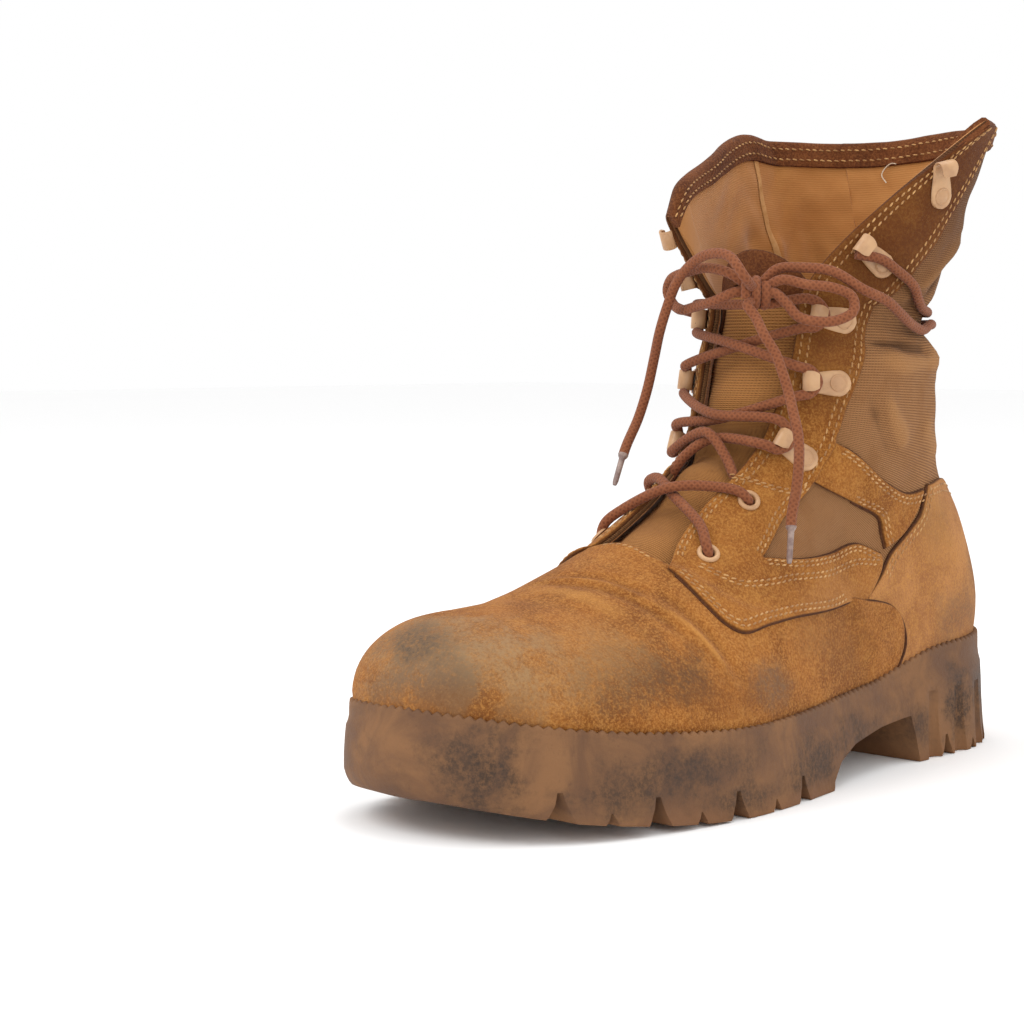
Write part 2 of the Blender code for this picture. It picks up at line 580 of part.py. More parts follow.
def build_upper():
    """Hollow shell from the feather line to the throat and the collar, open below."""
    low = outline_loop(FEATHER_INSET)
    lat, med = branches(low)
    stops = np.concatenate([[4.6, 7, 12, 20, 30], np.arange(42, 300, 10.5), [299, 303]]) * K_LEN
    lateral = [(float(np.interp(s, lat[:, 1], lat[:, 0])), s) for s in stops]
    medial = [(float(np.interp(s, med[:, 1], med[:, 0])), s) for s in stops]
    toe = [(float(low[np.argmin(low[:, 1]), 0]), float(low[:, 1].min()) + 0.05)]
    heel_s = float(low[:, 1].max())

    def lift(p):
        return [(x, s, float(feather(s)) + FOOT_GAP) for x, s in p]
    lat3 = lift(toe + lateral)
    med3 = lift(medial)
    lat_ia = edge_chart(lat3, 1)
    med_ia = edge_chart(med3, -1)
    k0 = heel_section()
    heel3 = (0.0, heel_s, float(feather(heel_s)) + FOOT_GAP)
    seam = [(float(i), 180.0) for i in np.concatenate([[k0], np.arange(math.ceil(k0) + 5, CINCH_AT, 8.0),
                                                       np.arange(CINCH_AT, TOP_AT + 1, 10.25)])]
    top_lat = resample([(TOP_AT, 180.0), (TOP_AT, EDGE_LAT)], MESH_STEP)
    stay_lat = resample(STAY_EDGE[::-1], MESH_STEP)
    stay_med = [(i, -a * (1.1 if i > 300 else 1.0)) for i, a in resample(STAY_EDGE, MESH_STEP)]
    stay_med = [(i, max(a, EDGE_MED) if i > 300 else a) for i, a in stay_med]
    vamp = resample(VAMP_TOP, MESH_STEP)
    top_med = resample([(TOP_AT, EDGE_MED), (TOP_AT, -180.0)], MESH_STEP)
    border = lat_ia + seam[:-1] + top_lat[:-1] + stay_lat + vamp + stay_med[:-1] + top_med
    border += [(i, -180.0) for i, _ in seam[::-1][1:]] + med_ia[::-1]
    fixed = {}
    for k, p in enumerate(lat3):
        fixed[k] = p
    fixed[len(lat_ia)] = heel3
    fixed[len(border) - len(med_ia) - 1] = heel3
    for k, p in enumerate(med3[::-1]):
        fixed[len(border) - len(med_ia) + k] = p
    v, faces = triangulate(to_chart(border), to_chart(chart_lattice(MESH_STEP)))
    i, a = from_chart(v)
    p = surface(i, a)
    n = normals(i, a)
    for k, q in fixed.items():
        p[k] = q
        n[k, 2] = 0
        n[k] /= np.linalg.norm(n[k]) + 1e-9
    points, out = shell(p, p - n * WALL, faces, len(border))
    seam_low = len(lat_ia)
    seam_high = seam_low + len(seam) - 1
    other = len(border) - len(med_ia) - 1
    total = len(p)
    join = {other - k: seam_low + k for k in range(len(seam))}
    wall = []
    for f in out:
        g = [join.get(k, k) if k < total else join.get(k - total, k - total) + total for k in f]
        if len(set(g)) == 3:
            wall.append(tuple(g))
    seam_set = {k + d for k in range(seam_low, seam_high + 1) for d in (0, total)}
    wall = [f for f in wall if not all(k in seam_set for k in f)]
    return make("upper", points, wall, NYLON)


def edge_chart(points, side):
    """Chart numbers of points along the feather line, found by a local search of the surface."""
    out = []
    i0, a0, cloud = LOOKUP
    half = a0 > 0 if side > 0 else a0 < 0
    sub = cloud[:, half]
    angles = a0[half]
    for p in points:
        k = np.unravel_index(np.argmin(((sub - np.array(p)) ** 2).sum(-1)), sub.shape[:2])
        ii = np.linspace(i0[k[0]] - 3, i0[k[0]] + 3, 13).clip(0, TOP_AT)
        aa = np.linspace(angles[k[1]] - 3, angles[k[1]] + 3, 13).clip(-180, 180)
        fine = surface(ii[:, None], aa[None, :])
        m = np.unravel_index(np.argmin(((fine - np.array(p)) ** 2).sum(-1)), fine.shape[:2])
        out.append((float(ii[m[0]]), float(aa[m[1]])))
    return out


def toe_section(raise_by):
    """Section number whose ridge ray meets the toe this far above the feather line."""
    low, high = 2.0, 39.0
    for _ in range(30):
        mid = (low + high) / 2
        p = surface(mid, 0.0)
        if p[2] > feather(p[1]) + raise_by:
            high = mid
        else:
            low = mid
    return high


def heel_section():
    """Section number whose back ray meets the feather line at the heel."""
    low, high = 200.0, 330.0
    for _ in range(30):
        mid = (low + high) / 2
        p = surface(mid, 180.0)
        if p[2] > feather(p[1]) + FOOT_GAP:
            high = mid
        else:
            low = mid
    return high


def wrapped(i, a):
    """The surface with angles that run on past the back."""
    return surface(i, (np.asarray(a, float) + 180.0) % 360.0 - 180.0)


def mirror(points):
    return [(i, -a) for i, a in points]


def feather_edge(side, raise_by, stops):
    """Chart line a little above the feather line on one side."""
    lat, med = branches(outline_loop(FEATHER_INSET))
    plan = lat if side > 0 else med
    points = [(float(np.interp(s, plan[:, 1], plan[:, 0])), s, float(feather(s)) + raise_by) for s in stops]
    return edge_chart(points, side)


def turned(i, a, off, toward=1.0):
    """Place on the surface: point, direction to the throat, direction up the edge, normal."""
    i = np.array([float(i)])
    a = np.array([float(a)])
    n = normals(i, a)[0]
    p = surface(i, a)[0] + n * off
    u = (surface(i, a - np.sign(a) * 3) - surface(i, a))[0]
    u -= n * (u @ n)
    u /= np.linalg.norm(u)
    return p, u, np.cross(n, u), n


def join_parts(name, parts, mat):
    """One closed body from overlapping closed pieces."""
    first = parts[0]
    cut(first, parts[1:], "UNION")
    first.name = name
    first.data.name = name
    first.data.materials.clear()
    first.data.materials.append(mat)
    return first


def placed(name, local, faces, frame, mat):
    p, u, w, n = frame
    q = np.asarray(local, float)
    return make(name, p + q[:, :1] * u + q[:, 1:2] * w + q[:, 2:] * n, faces, mat)


def ring(name, outer, inner, height, frame, mat, sides=9):
    """Flat ring with a hole."""
    angle = np.linspace(0, 2 * math.pi, sides, endpoint=False)
    c, s = np.cos(angle), np.sin(angle)
    rows = [(outer, 0.0), (outer, height * 0.5), ((outer + inner) / 2, height), (inner, height * 0.6), (inner, 0.0)]
    local = np.concatenate([np.column_stack([r * c, r * s, np.full(sides, h)]) for r, h in rows])
    faces = []
    for r in range(5):
        for k in range(sides):
            j = (k + 1) % sides
            faces.append((r * sides + k, r * sides + j, (r + 1) % 5 * sides + j, (r + 1) % 5 * sides + k))
    return placed(name, local, faces, frame, mat)


def hook(name, frame, mat):
    """Lace hook: riveted plate with a turned-over end toward the throat."""
    half = HOOK_WIDTH / 2
    reach = HOOK_LENGTH * 0.6
    outline = [
        (-4.4, 0.0), (reach - 0.4, 0.0), (reach + 0.9, 1.2), (reach + 1.0, 5.4), (reach - 0.2, 6.5),
        (reach - 6.2, 6.3), (reach - 6.6, 5.5), (reach - 1.0, 5.3), (reach - 0.4, 4.6), (reach - 0.5, 1.7),
        (reach - 1.2, 1.1), (-4.4, 1.1)]
    n = len(outline)
    local = [(u, w * half * (0.78 if u > 3 else 1.0), h) for w in (-1, 1) for u, h in outline]
    faces = [tuple(range(n)), tuple(range(2 * n - 1, n - 1, -1))]
    faces += [(k, (k + 1) % n, (k + 1) % n + n, k + n) for k in range(n)]
    plate = placed(name, local, faces, frame, mat)
    angle = np.linspace(0, 2 * math.pi, 6, endpoint=False)
    rows = [(half * 0.98, 0.15), (half * 0.98, 1.35), (half * 0.72, 1.9)]
    local = np.concatenate([np.column_stack([r * np.cos(angle) - 4.2, r * np.sin(angle), np.full(6, h)])
                            for r, h in rows])
    faces = [tuple(range(6))[::-1], tuple(range(12, 18))]
    faces += [(r * 6 + k, r * 6 + (k + 1) % 6, (r + 1) * 6 + (k + 1) % 6, (r + 1) * 6 + k)
              for r in range(2) for k in range(6)]
    rivet = placed("cutter", local, faces, frame, mat)
    return join_parts(name, [plate, rivet], mat)


def smooth_path(points, per=5):
    """Rounded path through the points."""
    p = np.asarray(points, float)
    q = np.vstack([2 * p[0] - p[1], p, 2 * p[-1] - p[-2]])
    out = []
    for k in range(1, len(q) - 2):
        a, b, c, d = q[k - 1], q[k], q[k + 1], q[k + 2]
        for t in np.linspace(0, 1, per, endpoint=False):
            out.append(0.5 * (2 * b + (c - a) * t + (2 * a - 5 * b + 4 * c - d) * t * t
                              + (3 * b - 3 * c + d - a) * t**3))
    out.append(q[-2])
    return np.array(out)


def tube(name, path, radius, mat, sides=5):
    """Closed tube along a path."""
    path = np.asarray(path, float)
    t = np.gradient(path, axis=0)
    t /= np.linalg.norm(t, axis=1)[:, None]
    side = np.cross(t[0], [0.31, 0.42, 0.85])
    side /= np.linalg.norm(side)
    rings = []
    for p, d in zip(path, t):
        side = side - d * (side @ d)
        side /= np.linalg.norm(side)
        other = np.cross(d, side)
        angle = np.linspace(0, 2 * math.pi, sides, endpoint=False)[:, None]
        rings.append(p + radius * (np.cos(angle) * side + np.sin(angle) * other))
    n = len(path)
    faces = [tuple(range(sides))[::-1], tuple(range((n - 1) * sides, n * sides))]
    for r in range(n - 1):
        for k in range(sides):
            j = (k + 1) % sides
            faces.append((r * sides + k, r * sides + j, (r + 1) * sides + j, (r + 1) * sides + k))
    return make(name, np.concatenate(rings), faces, mat)


def cord(name, points):
    """Free lace as a bevelled curve with filled ends, a point every two diameters or so."""
    fine = smooth_path(points, 12)
    along = np.concatenate([[0], np.cumsum(np.linalg.norm(np.diff(fine, axis=0), axis=1))])
    count = int(along[-1] / (CORD_STEP * LACE)) + 2
    path = np.stack([np.interp(np.linspace(0, along[-1], count), along, fine[:, k]) for k in range(3)], 1)
    curve = bpy.data.curves.new(name, "CURVE")
    curve.dimensions = "3D"
    curve.bevel_depth = LACE / 2 * 0.001
    curve.bevel_resolution = 2
    curve.use_fill_caps = True
    spline = curve.splines.new("POLY")
    spline.points.add(count - 1)
    for point, place in zip(spline.points, metres(path)):
        point.co = (*place, 1.0)
    curve.materials.append(LACE_CLOTH)
    ob = bpy.data.objects.new(name, curve)
    bpy.context.scene.collection.objects.link(ob)
    return ob


def build_overlays():
    """Suede pieces over the cloth: vamp, stays with quarters, straps, counter, binding."""
    low, high = OVERLAY_OFF, OVERLAY_OFF + OVERLAY_THICK
    rear = [(220, 142.5), (228, 139.5), (230, 131), (226.5, 120)]
    under = [(222, 115.5), (212, 104), (182, 91), (162, 87), (143, 85), (136.5, 77), (136, 64), (136.5, 52),
             (137.5, 34)]
    stops = [5.2, 7.5, 11, 16, 24, 33, 41, 48, 55, 62, 70, 80, 100, 120, 140, 160, 180, 200, 214]
    stops = [s * K_LEN for s in stops]
    line = feather_edge(1, 2.2, stops)
    line_m = feather_edge(-1, 2.2, stops)
    tip = [(toe_section(2.2), 0.0)]
    border = tip + line + rear + under + [(140, 22), (141, 14), (142.5, 2), (142.5, -10), (141, -22)]
    border += mirror(under)[::-1]
    border += mirror(rear)[::-1] + line_m[::-1]
    laid("vamp", border, low, high, SUEDE)
    stay = [(139.5, 34)] + [(i + 0.5, a + 1) for i, a in STAY_EDGE[1:-1]] + [(406.3, 21), (406.3, 50)]
    stay += STAY_BACK[1:] + WINDOW_FRONT + WINDOW_LOW + QUARTER_REAR + QUARTER_LOW
    laid("stay_lateral", stay, low, high, SUEDE)
    laid("stay_medial", mirror(stay), low, high, SUEDE)
    laid("strap_lateral", STRAP, low, high, SUEDE)
    laid("strap_medial", mirror(STRAP), low, high, SUEDE)
    stops = [s * K_LEN for s in (228, 245, 262, 278, 290, 298, 303)]
    rise = feather_edge(1, 2.2, stops)
    rise_m = [(i, 360 + a) for i, a in feather_edge(-1, 2.2, stops)]
    k = heel_section() + 1.5
    flip = [(i, 360 - a) for i, a in (COUNTER_LOW + COUNTER_FRONT + COUNTER_TOP[:-1])]
    border = rise[::-1] + COUNTER_LOW + COUNTER_FRONT + COUNTER_TOP + flip[::-1] + rise_m + [(k, 180.0)]
    laid("counter", border, low, high, SUEDE, shape=wrapped)
    band = [(BINDING_FROM, 20.5), (419.0, 20.5), (419.0, 337.5), (BINDING_FROM, 337.5)]
    laid("collar_binding", band, low, high, SUEDE, shape=wrapped)


def base_shape(i, a):
    """The form without the opened collar."""
    return fan_point(np.minimum(i, 400.0), a)


def build_tongue():
    """Padded strip behind the laces, tucked under the vamp and both stays."""
    border = [(126, -34), (126, 0), (126, 34), (170, 38), (230, 36), (290, 34), (322, 33), (338, 27),
              (346, 20), (351, 13), (353.5, 7), (354, 0), (353.5, -7), (351, -13), (346, -20), (338, -27),
              (322, -33), (290, -34), (230, -36), (170, -38)]
    laid("tongue", border, -WALL - 2.4 - TONGUE_THICK, -WALL - 2.4, NYLON, 15.0, base_shape)


def build_metal():
    """Eyelets and lace hooks on both stays."""
    off = OVERLAY_OFF + OVERLAY_THICK + METAL_GAP
    for side, word in ((1, "lateral"), (-1, "medial")):
        for k, (i, a) in enumerate(EYELETS):
            ring(f"eyelet_{word}_{k + 1}", EYELET_OD / 2, EYELET_ID / 2, 1.1, turned(i, a * side, off), PAINT)
        for k, (i, a) in enumerate(HOOKS):
            hook(f"hook_{word}_{k + 1}", turned(i, a * side, off), PAINT)


def at(i, a, n=0.0, u=0.0, w=0.0):
    """Point over a stay: n out of it, u toward the throat, w up along the edge."""
    p, du, dw, dn = turned(i, a, OVERLAY_OFF + OVERLAY_THICK + METAL_GAP)
    if a < 0:
        w = -w
    return p + du * u + dw * w + dn * n


def build_laces():
    """Crossing laces from the lowest eyelets to the third hooks as one body."""
    r = LACE / 2
    low_i, low_a = EYELETS[0]
    up_i, up_a = EYELETS[1]
    strands = []
    for side in (1, -1):
        path = [at(low_i, side * low_a, r + 1.9), at(low_i + 3, side * (low_a - 14), r + 2.6)]
        path.append(at((low_i + up_i) / 2, 0.01, 7.5))
        path.append(at(up_i - 2, -side * (up_a - 10), r + 3.4))
        path.append(at(up_i + 2, -side * (up_a - 2), r + 2.4, 0.0, 1.0))
        path.append(at(up_i + 12, -side * (up_a - 12), r + 3.4))
        for k, (i, a) in enumerate(HOOKS[:3]):
            flip = side if k % 2 == 0 else -side
            before = up_i + 10 if k == 0 else HOOKS[k - 1][0]
            path.append(at((before + i) / 2, 0.01, 7.5))
            h = 3.2
            path.append(at(i, flip * a, h + 0.4, 15.0, -6.9))
            path.append(at(i, flip * a, h, 8.0, -6.9))
            path.append(at(i, flip * a, h, 4.9, -5.6))
            path.append(at(i, flip * a, h, 4.2, 0.0))
            path.append(at(i, flip * a, h, 4.9, 5.6))
            path.append(at(i, flip * a, h, 8.0, 6.9))
            path.append(at(i, flip * a, h + 0.4, 15.0, 6.9))
        strands.append(tube("strand", smooth_path(path, 2), r, LACE_CLOTH))
    across = [at(low_i, low_a, r + 1.9), at(low_i - 3, low_a - 14, r + 3.0), at(low_i - 5, 0.01, 6.5),
              at(low_i - 3, 14 - low_a, r + 3.0), at(low_i, -low_a, r + 1.9)]
    strands.append(tube("strand", smooth_path(across, 2), r, LACE_CLOTH))
    join_parts("lace_bars", strands, LACE_CLOTH)


def build_cords():
    """Bow, wrap round the ankle and the free ends."""
    r = LACE / 2
    for name, path in CORDS.items():
        cord(name, path)
    wrap = list(CORD_WRAP)
    for a in range(104, 292, 16):
        i = 331.0 + 2.0 * (a - 104) / 200
        n = normals([i], [a], wrapped)[0]
        wrap.append(tuple(wrapped([i], [a])[0] + n * (r + (3.75 if a < 250 else 5.05))))
    cord("lace_wrap", wrap + CORD_WRAP_END)
    bm = bmesh.new()
    bmesh.ops.create_icosphere(bm, subdivisions=2, radius=1.0)
    points = [KNOT_AT + np.array(v.co) * KNOT_SIZE for v in bm.verts]
    faces = [tuple(v.index for v in f.verts) for f in bm.faces]
    bm.free()
    make("lace_knot", points, faces, LACE_CLOTH)


outsole = build_outsole()
upper = build_upper()
plan_slab("insole", outline_loop(FEATHER_INSET + WALL + 1.8), lambda s: feather(s) + 0.6,
          lambda s: feather(s) + 0.6 + INSOLE_THICK, INSOLE_CLOTH, step=26.0)
build_overlays()
build_tongue()
build_metal()
build_laces()
build_cords()
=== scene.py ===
"""Looks of the worn left combat boot: suede, ribbed cloth, rubber sole, laces, hooks and stitches."""
import math
import bpy
import bmesh
import numpy as np
from mathutils import Matrix, Vector
from mathutils.geometry import delaunay_2d_cdt


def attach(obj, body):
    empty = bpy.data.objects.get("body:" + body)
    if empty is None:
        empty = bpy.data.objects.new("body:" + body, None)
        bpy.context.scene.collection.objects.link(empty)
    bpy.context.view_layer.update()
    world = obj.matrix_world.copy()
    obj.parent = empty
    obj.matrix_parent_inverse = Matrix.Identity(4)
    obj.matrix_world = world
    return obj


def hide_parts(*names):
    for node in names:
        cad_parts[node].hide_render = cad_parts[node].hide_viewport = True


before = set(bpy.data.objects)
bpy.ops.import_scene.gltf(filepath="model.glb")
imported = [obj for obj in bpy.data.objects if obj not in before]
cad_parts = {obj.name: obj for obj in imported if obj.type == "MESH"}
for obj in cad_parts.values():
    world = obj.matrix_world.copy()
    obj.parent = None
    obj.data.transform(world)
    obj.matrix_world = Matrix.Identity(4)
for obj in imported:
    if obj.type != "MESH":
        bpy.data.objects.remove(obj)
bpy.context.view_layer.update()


# driving dimensions, millimetres, as in the part's source; s runs from the toe tip to the heel
LENGTH = 310.0
BALL_WIDTH = 112.5
HEEL_WIDTH = 79.5
TOE_SPRING = 12.6
BALL_AT = 112.0
HEEL_REST_AT = 270.0
HEIGHT = 243.0
WALL = 2.0
LIP = 2.0
FEATHER_INSET = 4.2
SUEDE_THICK = 1.6
TONGUE_THICK = 2.0
SOLE_FLARE = 1.8
LACE = 3.8
EYELET_OD = 8.4
EYELET_ID = 4.6
HOOK_LENGTH = 15.5
HOOK_WIDTH = 9.5
# sizes that only show here
CLOTH_STEP = 2.5
SUEDE_STEP = 1.75
EDGE_ROUND = 0.9
STITCH_LENGTH = 2.3
STITCH_PITCH = 2.95
THREAD_WIDE = 0.78
THREAD_HIGH = 0.6
ROW_GAP = 2.1
FIRST_ROW = 1.9
TOOTH_PITCH = 3.7
TOOTH_HIGH = 1.5
AGLET_LENGTH = 15.0
LACE_SIDES = 14
SUEDE_OFF = 0.12
EYELET_HOLE = EYELET_ID / 2 + 0.3
HOLE_SIDES = 18
STITCH_SINK = 0.05
MERGE = 2e-6
SIDES = ((1, "lateral"), (-1, "medial"))

K_LEN = LENGTH / 310.0
K_BALL = BALL_WIDTH / 112.5
K_HEEL = HEEL_WIDTH / 79.5
K_HIGH = HEIGHT / 243.0

# plan outline of the sole: s, lateral x, medial x
OUTLINE = [
    (0, -6, -6), (4, 16, -27), (12, 30, -38), (25, 41, -45.5), (45, 51, -50), (75, 58, -52.5),
    (105, 60.5, -52), (130, 58.5, -48.5), (160, 53, -41), (190, 46.5, -35.5), (220, 42, -35.5),
    (250, 41, -38.5), (275, 38.5, -37.5), (295, 29, -29), (305, 17, -17), (310, 0, 0)]
FEATHER = dict(s=[0, 112, 200, 250, 320], z=[28.8, 28.8, 32.1, 41.3, 44.3])
RIDGE = dict(
    s=[4.2, 6, 9, 14, 22, 33, 48, 62, 75, 90, 113, 127, 142, 158, 180, 215, 260, 306],
    z=[41, 49, 55, 60, 64.5, 67.5, 68.5, 69.5, 71.8, 76.5, 86, 95, 106, 121, 138, 142, 142, 142],
    x=[-6, -6, -6, -6, -6, -6, -6, -6, -7, -7, -7, -6, -4, -2, 0, 0, 0, 0],
    nx=[2.4, 2.4, 2.4, 2.4, 2.4, 2.4, 2.3, 2.2, 2.2, 2.1, 2.0, 2.0, 2.0, 2.1, 2.2, 2.4, 2.6, 2.6],
    nz=[2.4, 2.4, 2.4, 2.4, 2.4, 2.3, 2.2, 2.1, 2.0, 1.9, 1.75, 1.65, 1.6, 1.5, 1.5, 1.6, 1.8, 1.8])
SHAFT = dict(
    z=[60, 90, 103, 120, 137, 150, 160, 168, 175, 190, 262],
    front=[150, 158, 163, 168, 171, 174, 176, 178, 179, 180, 182],
    back=[303, 289, 280, 275, 274, 273, 270, 266, 267, 272, 284],
    w=[32, 34, 36, 38.5, 40.5, 40.5, 38, 35.5, 36.5, 40, 44])
SHAFT_POWER = 2.2
LEAN = dict(z=[40, 55, 70, 85, 100, 120, 150, 170], s=[1, 0, 2, 7, 14, 22, 34, 40])
BLEND = 9.0
CONE = 40.0
FAN = dict(
    i=[0, 40, 90, 150, 200, 240, 280, 310, 330, 420],
    s=[42, 42, 75, 128, 172, 205, 228, 235.3, 238, 241],
    z=[38, 38, 44, 54, 66, 84, 112, 143, 165, 262],
    tilt=[-90, 0, 6, 14, 28, 50, 76, 88, 88.5, 90])
CINCH_AT = 338.0
TOP_AT = 420.0
EDGE_LAT = 20.0
EDGE_MED = -22.0
COLLAR = dict(
    f=[-1.0, -0.93, -0.8, -0.48, -0.33, -0.22, 0.0, 0.2, 0.33, 0.42, 0.52, 0.66, 0.82, 1.0],
    x=[-25, -23.5, -30, -40, -41, -38, -24, -7, 6, 19, 31, 44, 55, 62.6],
    s=[162, 165, 187, 226, 240, 248, 269, 286, 290, 290, 284.5, 273, 258, 242.5],
    z=[207, 217, 227.5, 241.3, 240, 239.8, 239.4, 240.6, 242, 243, 243, 242.6, 242, 241])
COLLAR_EASE = dict(f=[-1, -0.4, 0, 0.75, 0.9, 1], p=[0.9, 0.6, 0.55, 0.55, 0.9, 1.35])

# edges on the surface: section number, degrees from the ridge, lateral side positive
STAY_EDGE = [
    (140, 32), (148, 26), (158, 20), (182, 15), (206, 16), (226, 16), (292, 16), (312, 19), (330, 20),
    (338, 20), (360, 20), (380, 20), (400, 20), (420, 20)]
STAY_BACK = [
    (420, 50), (400, 50), (380, 50), (356, 50), (338, 50), (330, 47), (318, 46), (308, 43), (300, 41),
    (284, 39), (262, 38), (244, 39)]
VAMP_TOP = [(140, 32), (141, 22), (142.5, 10), (143.5, -2), (144, -12), (142, -24), (140, -32)]
QUARTER_LOW = [(139, 40), (138, 52), (137.5, 64), (139, 76), (144, 82), (162, 84), (182, 88), (212, 101), (224, 113)]
WINDOW = [[(240, 40.5), (222, 42), (206, 44), (182, 54)], [(182, 54), (196, 62), (220, 73), (236, 82), (244, 105)]]
QUARTER_ROW = [(153, 40), (156, 50), (162, 60), (174, 65), (190, 69), (212, 79), (230, 89), (240, 104)]
STRAP_TOP = [(284, 36), (281, 44), (272, 70), (271, 100), (276, 119)]
STRAP_LOW = [(247, 106), (251, 96), (255, 86), (252, 62), (244, 36)]
VAMP_REAR = [(224, 113), (228, 119), (232, 127), (232.5, 134), (229, 140.5), (222, 143.5), (216, 143)]
COUNTER_FRONT = [(222, 112), (238, 113), (248, 112), (258, 116), (268, 121), (278, 121)]
COUNTER_TOP = [(278, 121), (282, 136), (284, 158), (285, 180)]
EYELET_ROW = [(208, 14), (214, 22), (220, 30), (228, 36), (240, 38)]
THROAT_ROW = [(142.5, 18), (143.5, 8), (144.5, -2), (144.5, -12), (143.5, -22)]
EYELETS = [(160, 38), (200, 28)]
HOOKS = [(264, 27), (310, 32), (332, 32), (358, 32), (392, 32)]
# how far each hook is turned upward on its rivet, degrees
HOOK_TURN = dict(lateral=[14, 0, 8, 38, 78], medial=[0, 0, 0, 12, 25])
# grooves in the side of the tread: s, width, depth
TREAD = [
    (30, 8, 9.5), (46, 5, 4), (64, 9, 9.5), (82, 5, 4), (100, 9, 9.5), (121, 5, 4), (140, 8, 9),
    (252, 8, 8), (272, 5, 4), (289, 8, 8)]
# underside of the waist between forefoot and heel: s, height
ARCH = [(161, -5), (164, 3), (171, 9), (184, 13.5), (205, 16.5), (228, 18), (231, 9), (233, -5)]

# soft ridges (positive) and troughs (negative): height, width, fades at both ends, points on the surface
FOLDS = [
    (-1.0, 4.0, [(104, -40), (108, 0), (114, 45), (119, 86)]),
    (1.0, 2.4, [(108, -34), (112, 2), (117, 46), (123, 84)]),
    (-0.9, 2.6, [(112, -30), (117, 10), (121, 46), (127, 80)]),
    (0.75, 1.8, [(120, 36), (123, 66), (125, 98)]),
    (-0.8, 2.4, [(125, 40), (128, 70), (129, 96)]),
    (-0.5, 8.0, [(84, -46), (84, 0), (88, 50)]),
    (0.6, 9.0, [(96, -30), (98, 20), (100, 60)]),
    (-1.4, 3.2, [(329, 44), (330, 90), (330, 180), (330, 270), (329, 316)]),
    (2.1, 4.0, [(320, 50), (318, 74), (319, 100), (321, 128)]),
    (-2.6, 2.0, [(325, 46), (324, 64), (323, 84), (323, 104)]),
    (2.4, 4.0, [(321, -50), (319, -80), (320, -110), (320, -140)]),
    (1.6, 4.0, [(308, 58), (297, 68), (288, 84)]),
    (-1.3, 3.4, [(304, 54), (292, 62), (283, 74)]),
    (1.4, 4.0, [(300, 96), (293, 112), (290, 134)]),
    (-2.0, 5.5, [(312, 120), (300, 132), (294, 150)]),
    (2.2, 6.5, [(308, -60), (296, -78), (284, -96)]),
    (-2.0, 5.5, [(304, -46), (290, -60), (274, -80)]),
    (2.4, 5.0, [(342, 62), (356, 70), (372, 84)]),
    (-2.2, 5.0, [(340, 82), (354, 92), (370, 108)]),
    (2.2, 6.0, [(341, 120), (360, 128), (384, 132)]),
    (-2.0, 6.0, [(341, 146), (358, 152), (380, 156)]),
    (2.0, 6.0, [(342, -76), (358, -84), (378, -90)]),
    (-2.0, 5.0, [(341, -100), (356, -108), (376, -116)]),
    (2.0, 6.0, [(341, -140), (360, -146), (384, -150)]),
    (-0.5, 4.0, [(300, 22), (302, 34), (298, 44)]),
    (-0.6, 4.0, [(322, 22), (324, 34), (322, 46)]),
    (0.5, 5.0, [(312, 22), (313, 34), (310, 44)]),
    (-0.5, 7.0, [(206, 64), (226, 68), (244, 74)]),
    (0.6, 7.0, [(212, 52), (228, 54), (244, 56)])]

# free laces as points x, s, z, the same as in the part's source
KNOT_AT = np.array([13.5, 167.5, 177.7])
CORDS = dict(
    lace_loop_left=[
        (9.0, 160.9, 178.2), (0.2, 159.8, 175.1), (-11.5, 163.0, 173.2), (-21.4, 166.0, 172.0),
        (-29.5, 170.1, 175.1), (-31.5, 169.8, 178.9), (-27.9, 167.6, 183.6), (-16.1, 164.5, 186.3),
        (-2.8, 160.4, 187.1), (7.8, 160.2, 184.5)],
    lace_loop_right=[
        (21.0, 168.2, 177.8), (25.3, 169.5, 174.2), (29.4, 171.4, 169.2), (35.9, 175.1, 167.3),
        (40.6, 180.6, 167.9), (43.7, 185.5, 171.2), (42.2, 186.5, 176.4), (37.4, 181.4, 179.6),
        (30.8, 174.7, 180.7), (22.8, 169.9, 182.5)],
    lace_end_left=[
        (15.5, 161.75, 180.2), (18.6, 153.2, 183.9), (12.7, 152.6, 190.7), (2.5, 153.9, 192.0),
        (-7.5, 155.9, 188.9), (-16.9, 158.0, 182.0), (-21.8, 158.2, 172.7), (-24.8, 157.7, 163.9),
        (-30.3, 161.0, 154.2), (-34.3, 161.6, 142.0), (-36.3, 158.9, 131.3), (-34.2, 149.3, 120.3),
        (-31.1, 139.7, 106.9)],
    lace_end_right=[
        (15.05, 161.2, 174.3), (15.8, 159.1, 173.2), (19.2, 159.5, 169.1), (23.7, 159.0, 162.5),
        (27.7, 160.7, 155.7), (30.2, 161.1, 149.8), (32.8, 161.7, 142.1), (36.2, 160.3, 134.6),
        (39.4, 159.0, 126.8), (41.2, 157.3, 119.1), (42.4, 154.5, 108.4), (42.6, 151.5, 98.2),
        (43.6, 149.8, 92.0), (45.0, 147.2, 82.0)])
CORD_WRAP = [
    (18.6, 172.8, 186.5), (27.0, 176.6, 187.0), (36.0, 182.9, 185.6), (43.2, 191.3, 179.3),
    (46.0, 202.9, 175.0), (44.7, 213.5, 170.4), (41.5, 225.5, 166.5), (38.2, 237.4, 164.5)]
CORD_WRAP_END = [(-42.5, 192.0, 172.5), (-42.5, 183.0, 175.5)]


def ease(t):
    """Smooth step from 0 to 1."""
    return t * t * (3 - 2 * t)


def unit(v):
    return v / np.linalg.norm(v, axis=-1)[..., None]


def closed_line(loop):
    return np.vstack([loop, loop[:1]])


def run_along(path):
    """Length of a polyline up to each of its points."""
    return np.concatenate([[0], np.cumsum(np.linalg.norm(np.diff(path, axis=0), axis=1))])


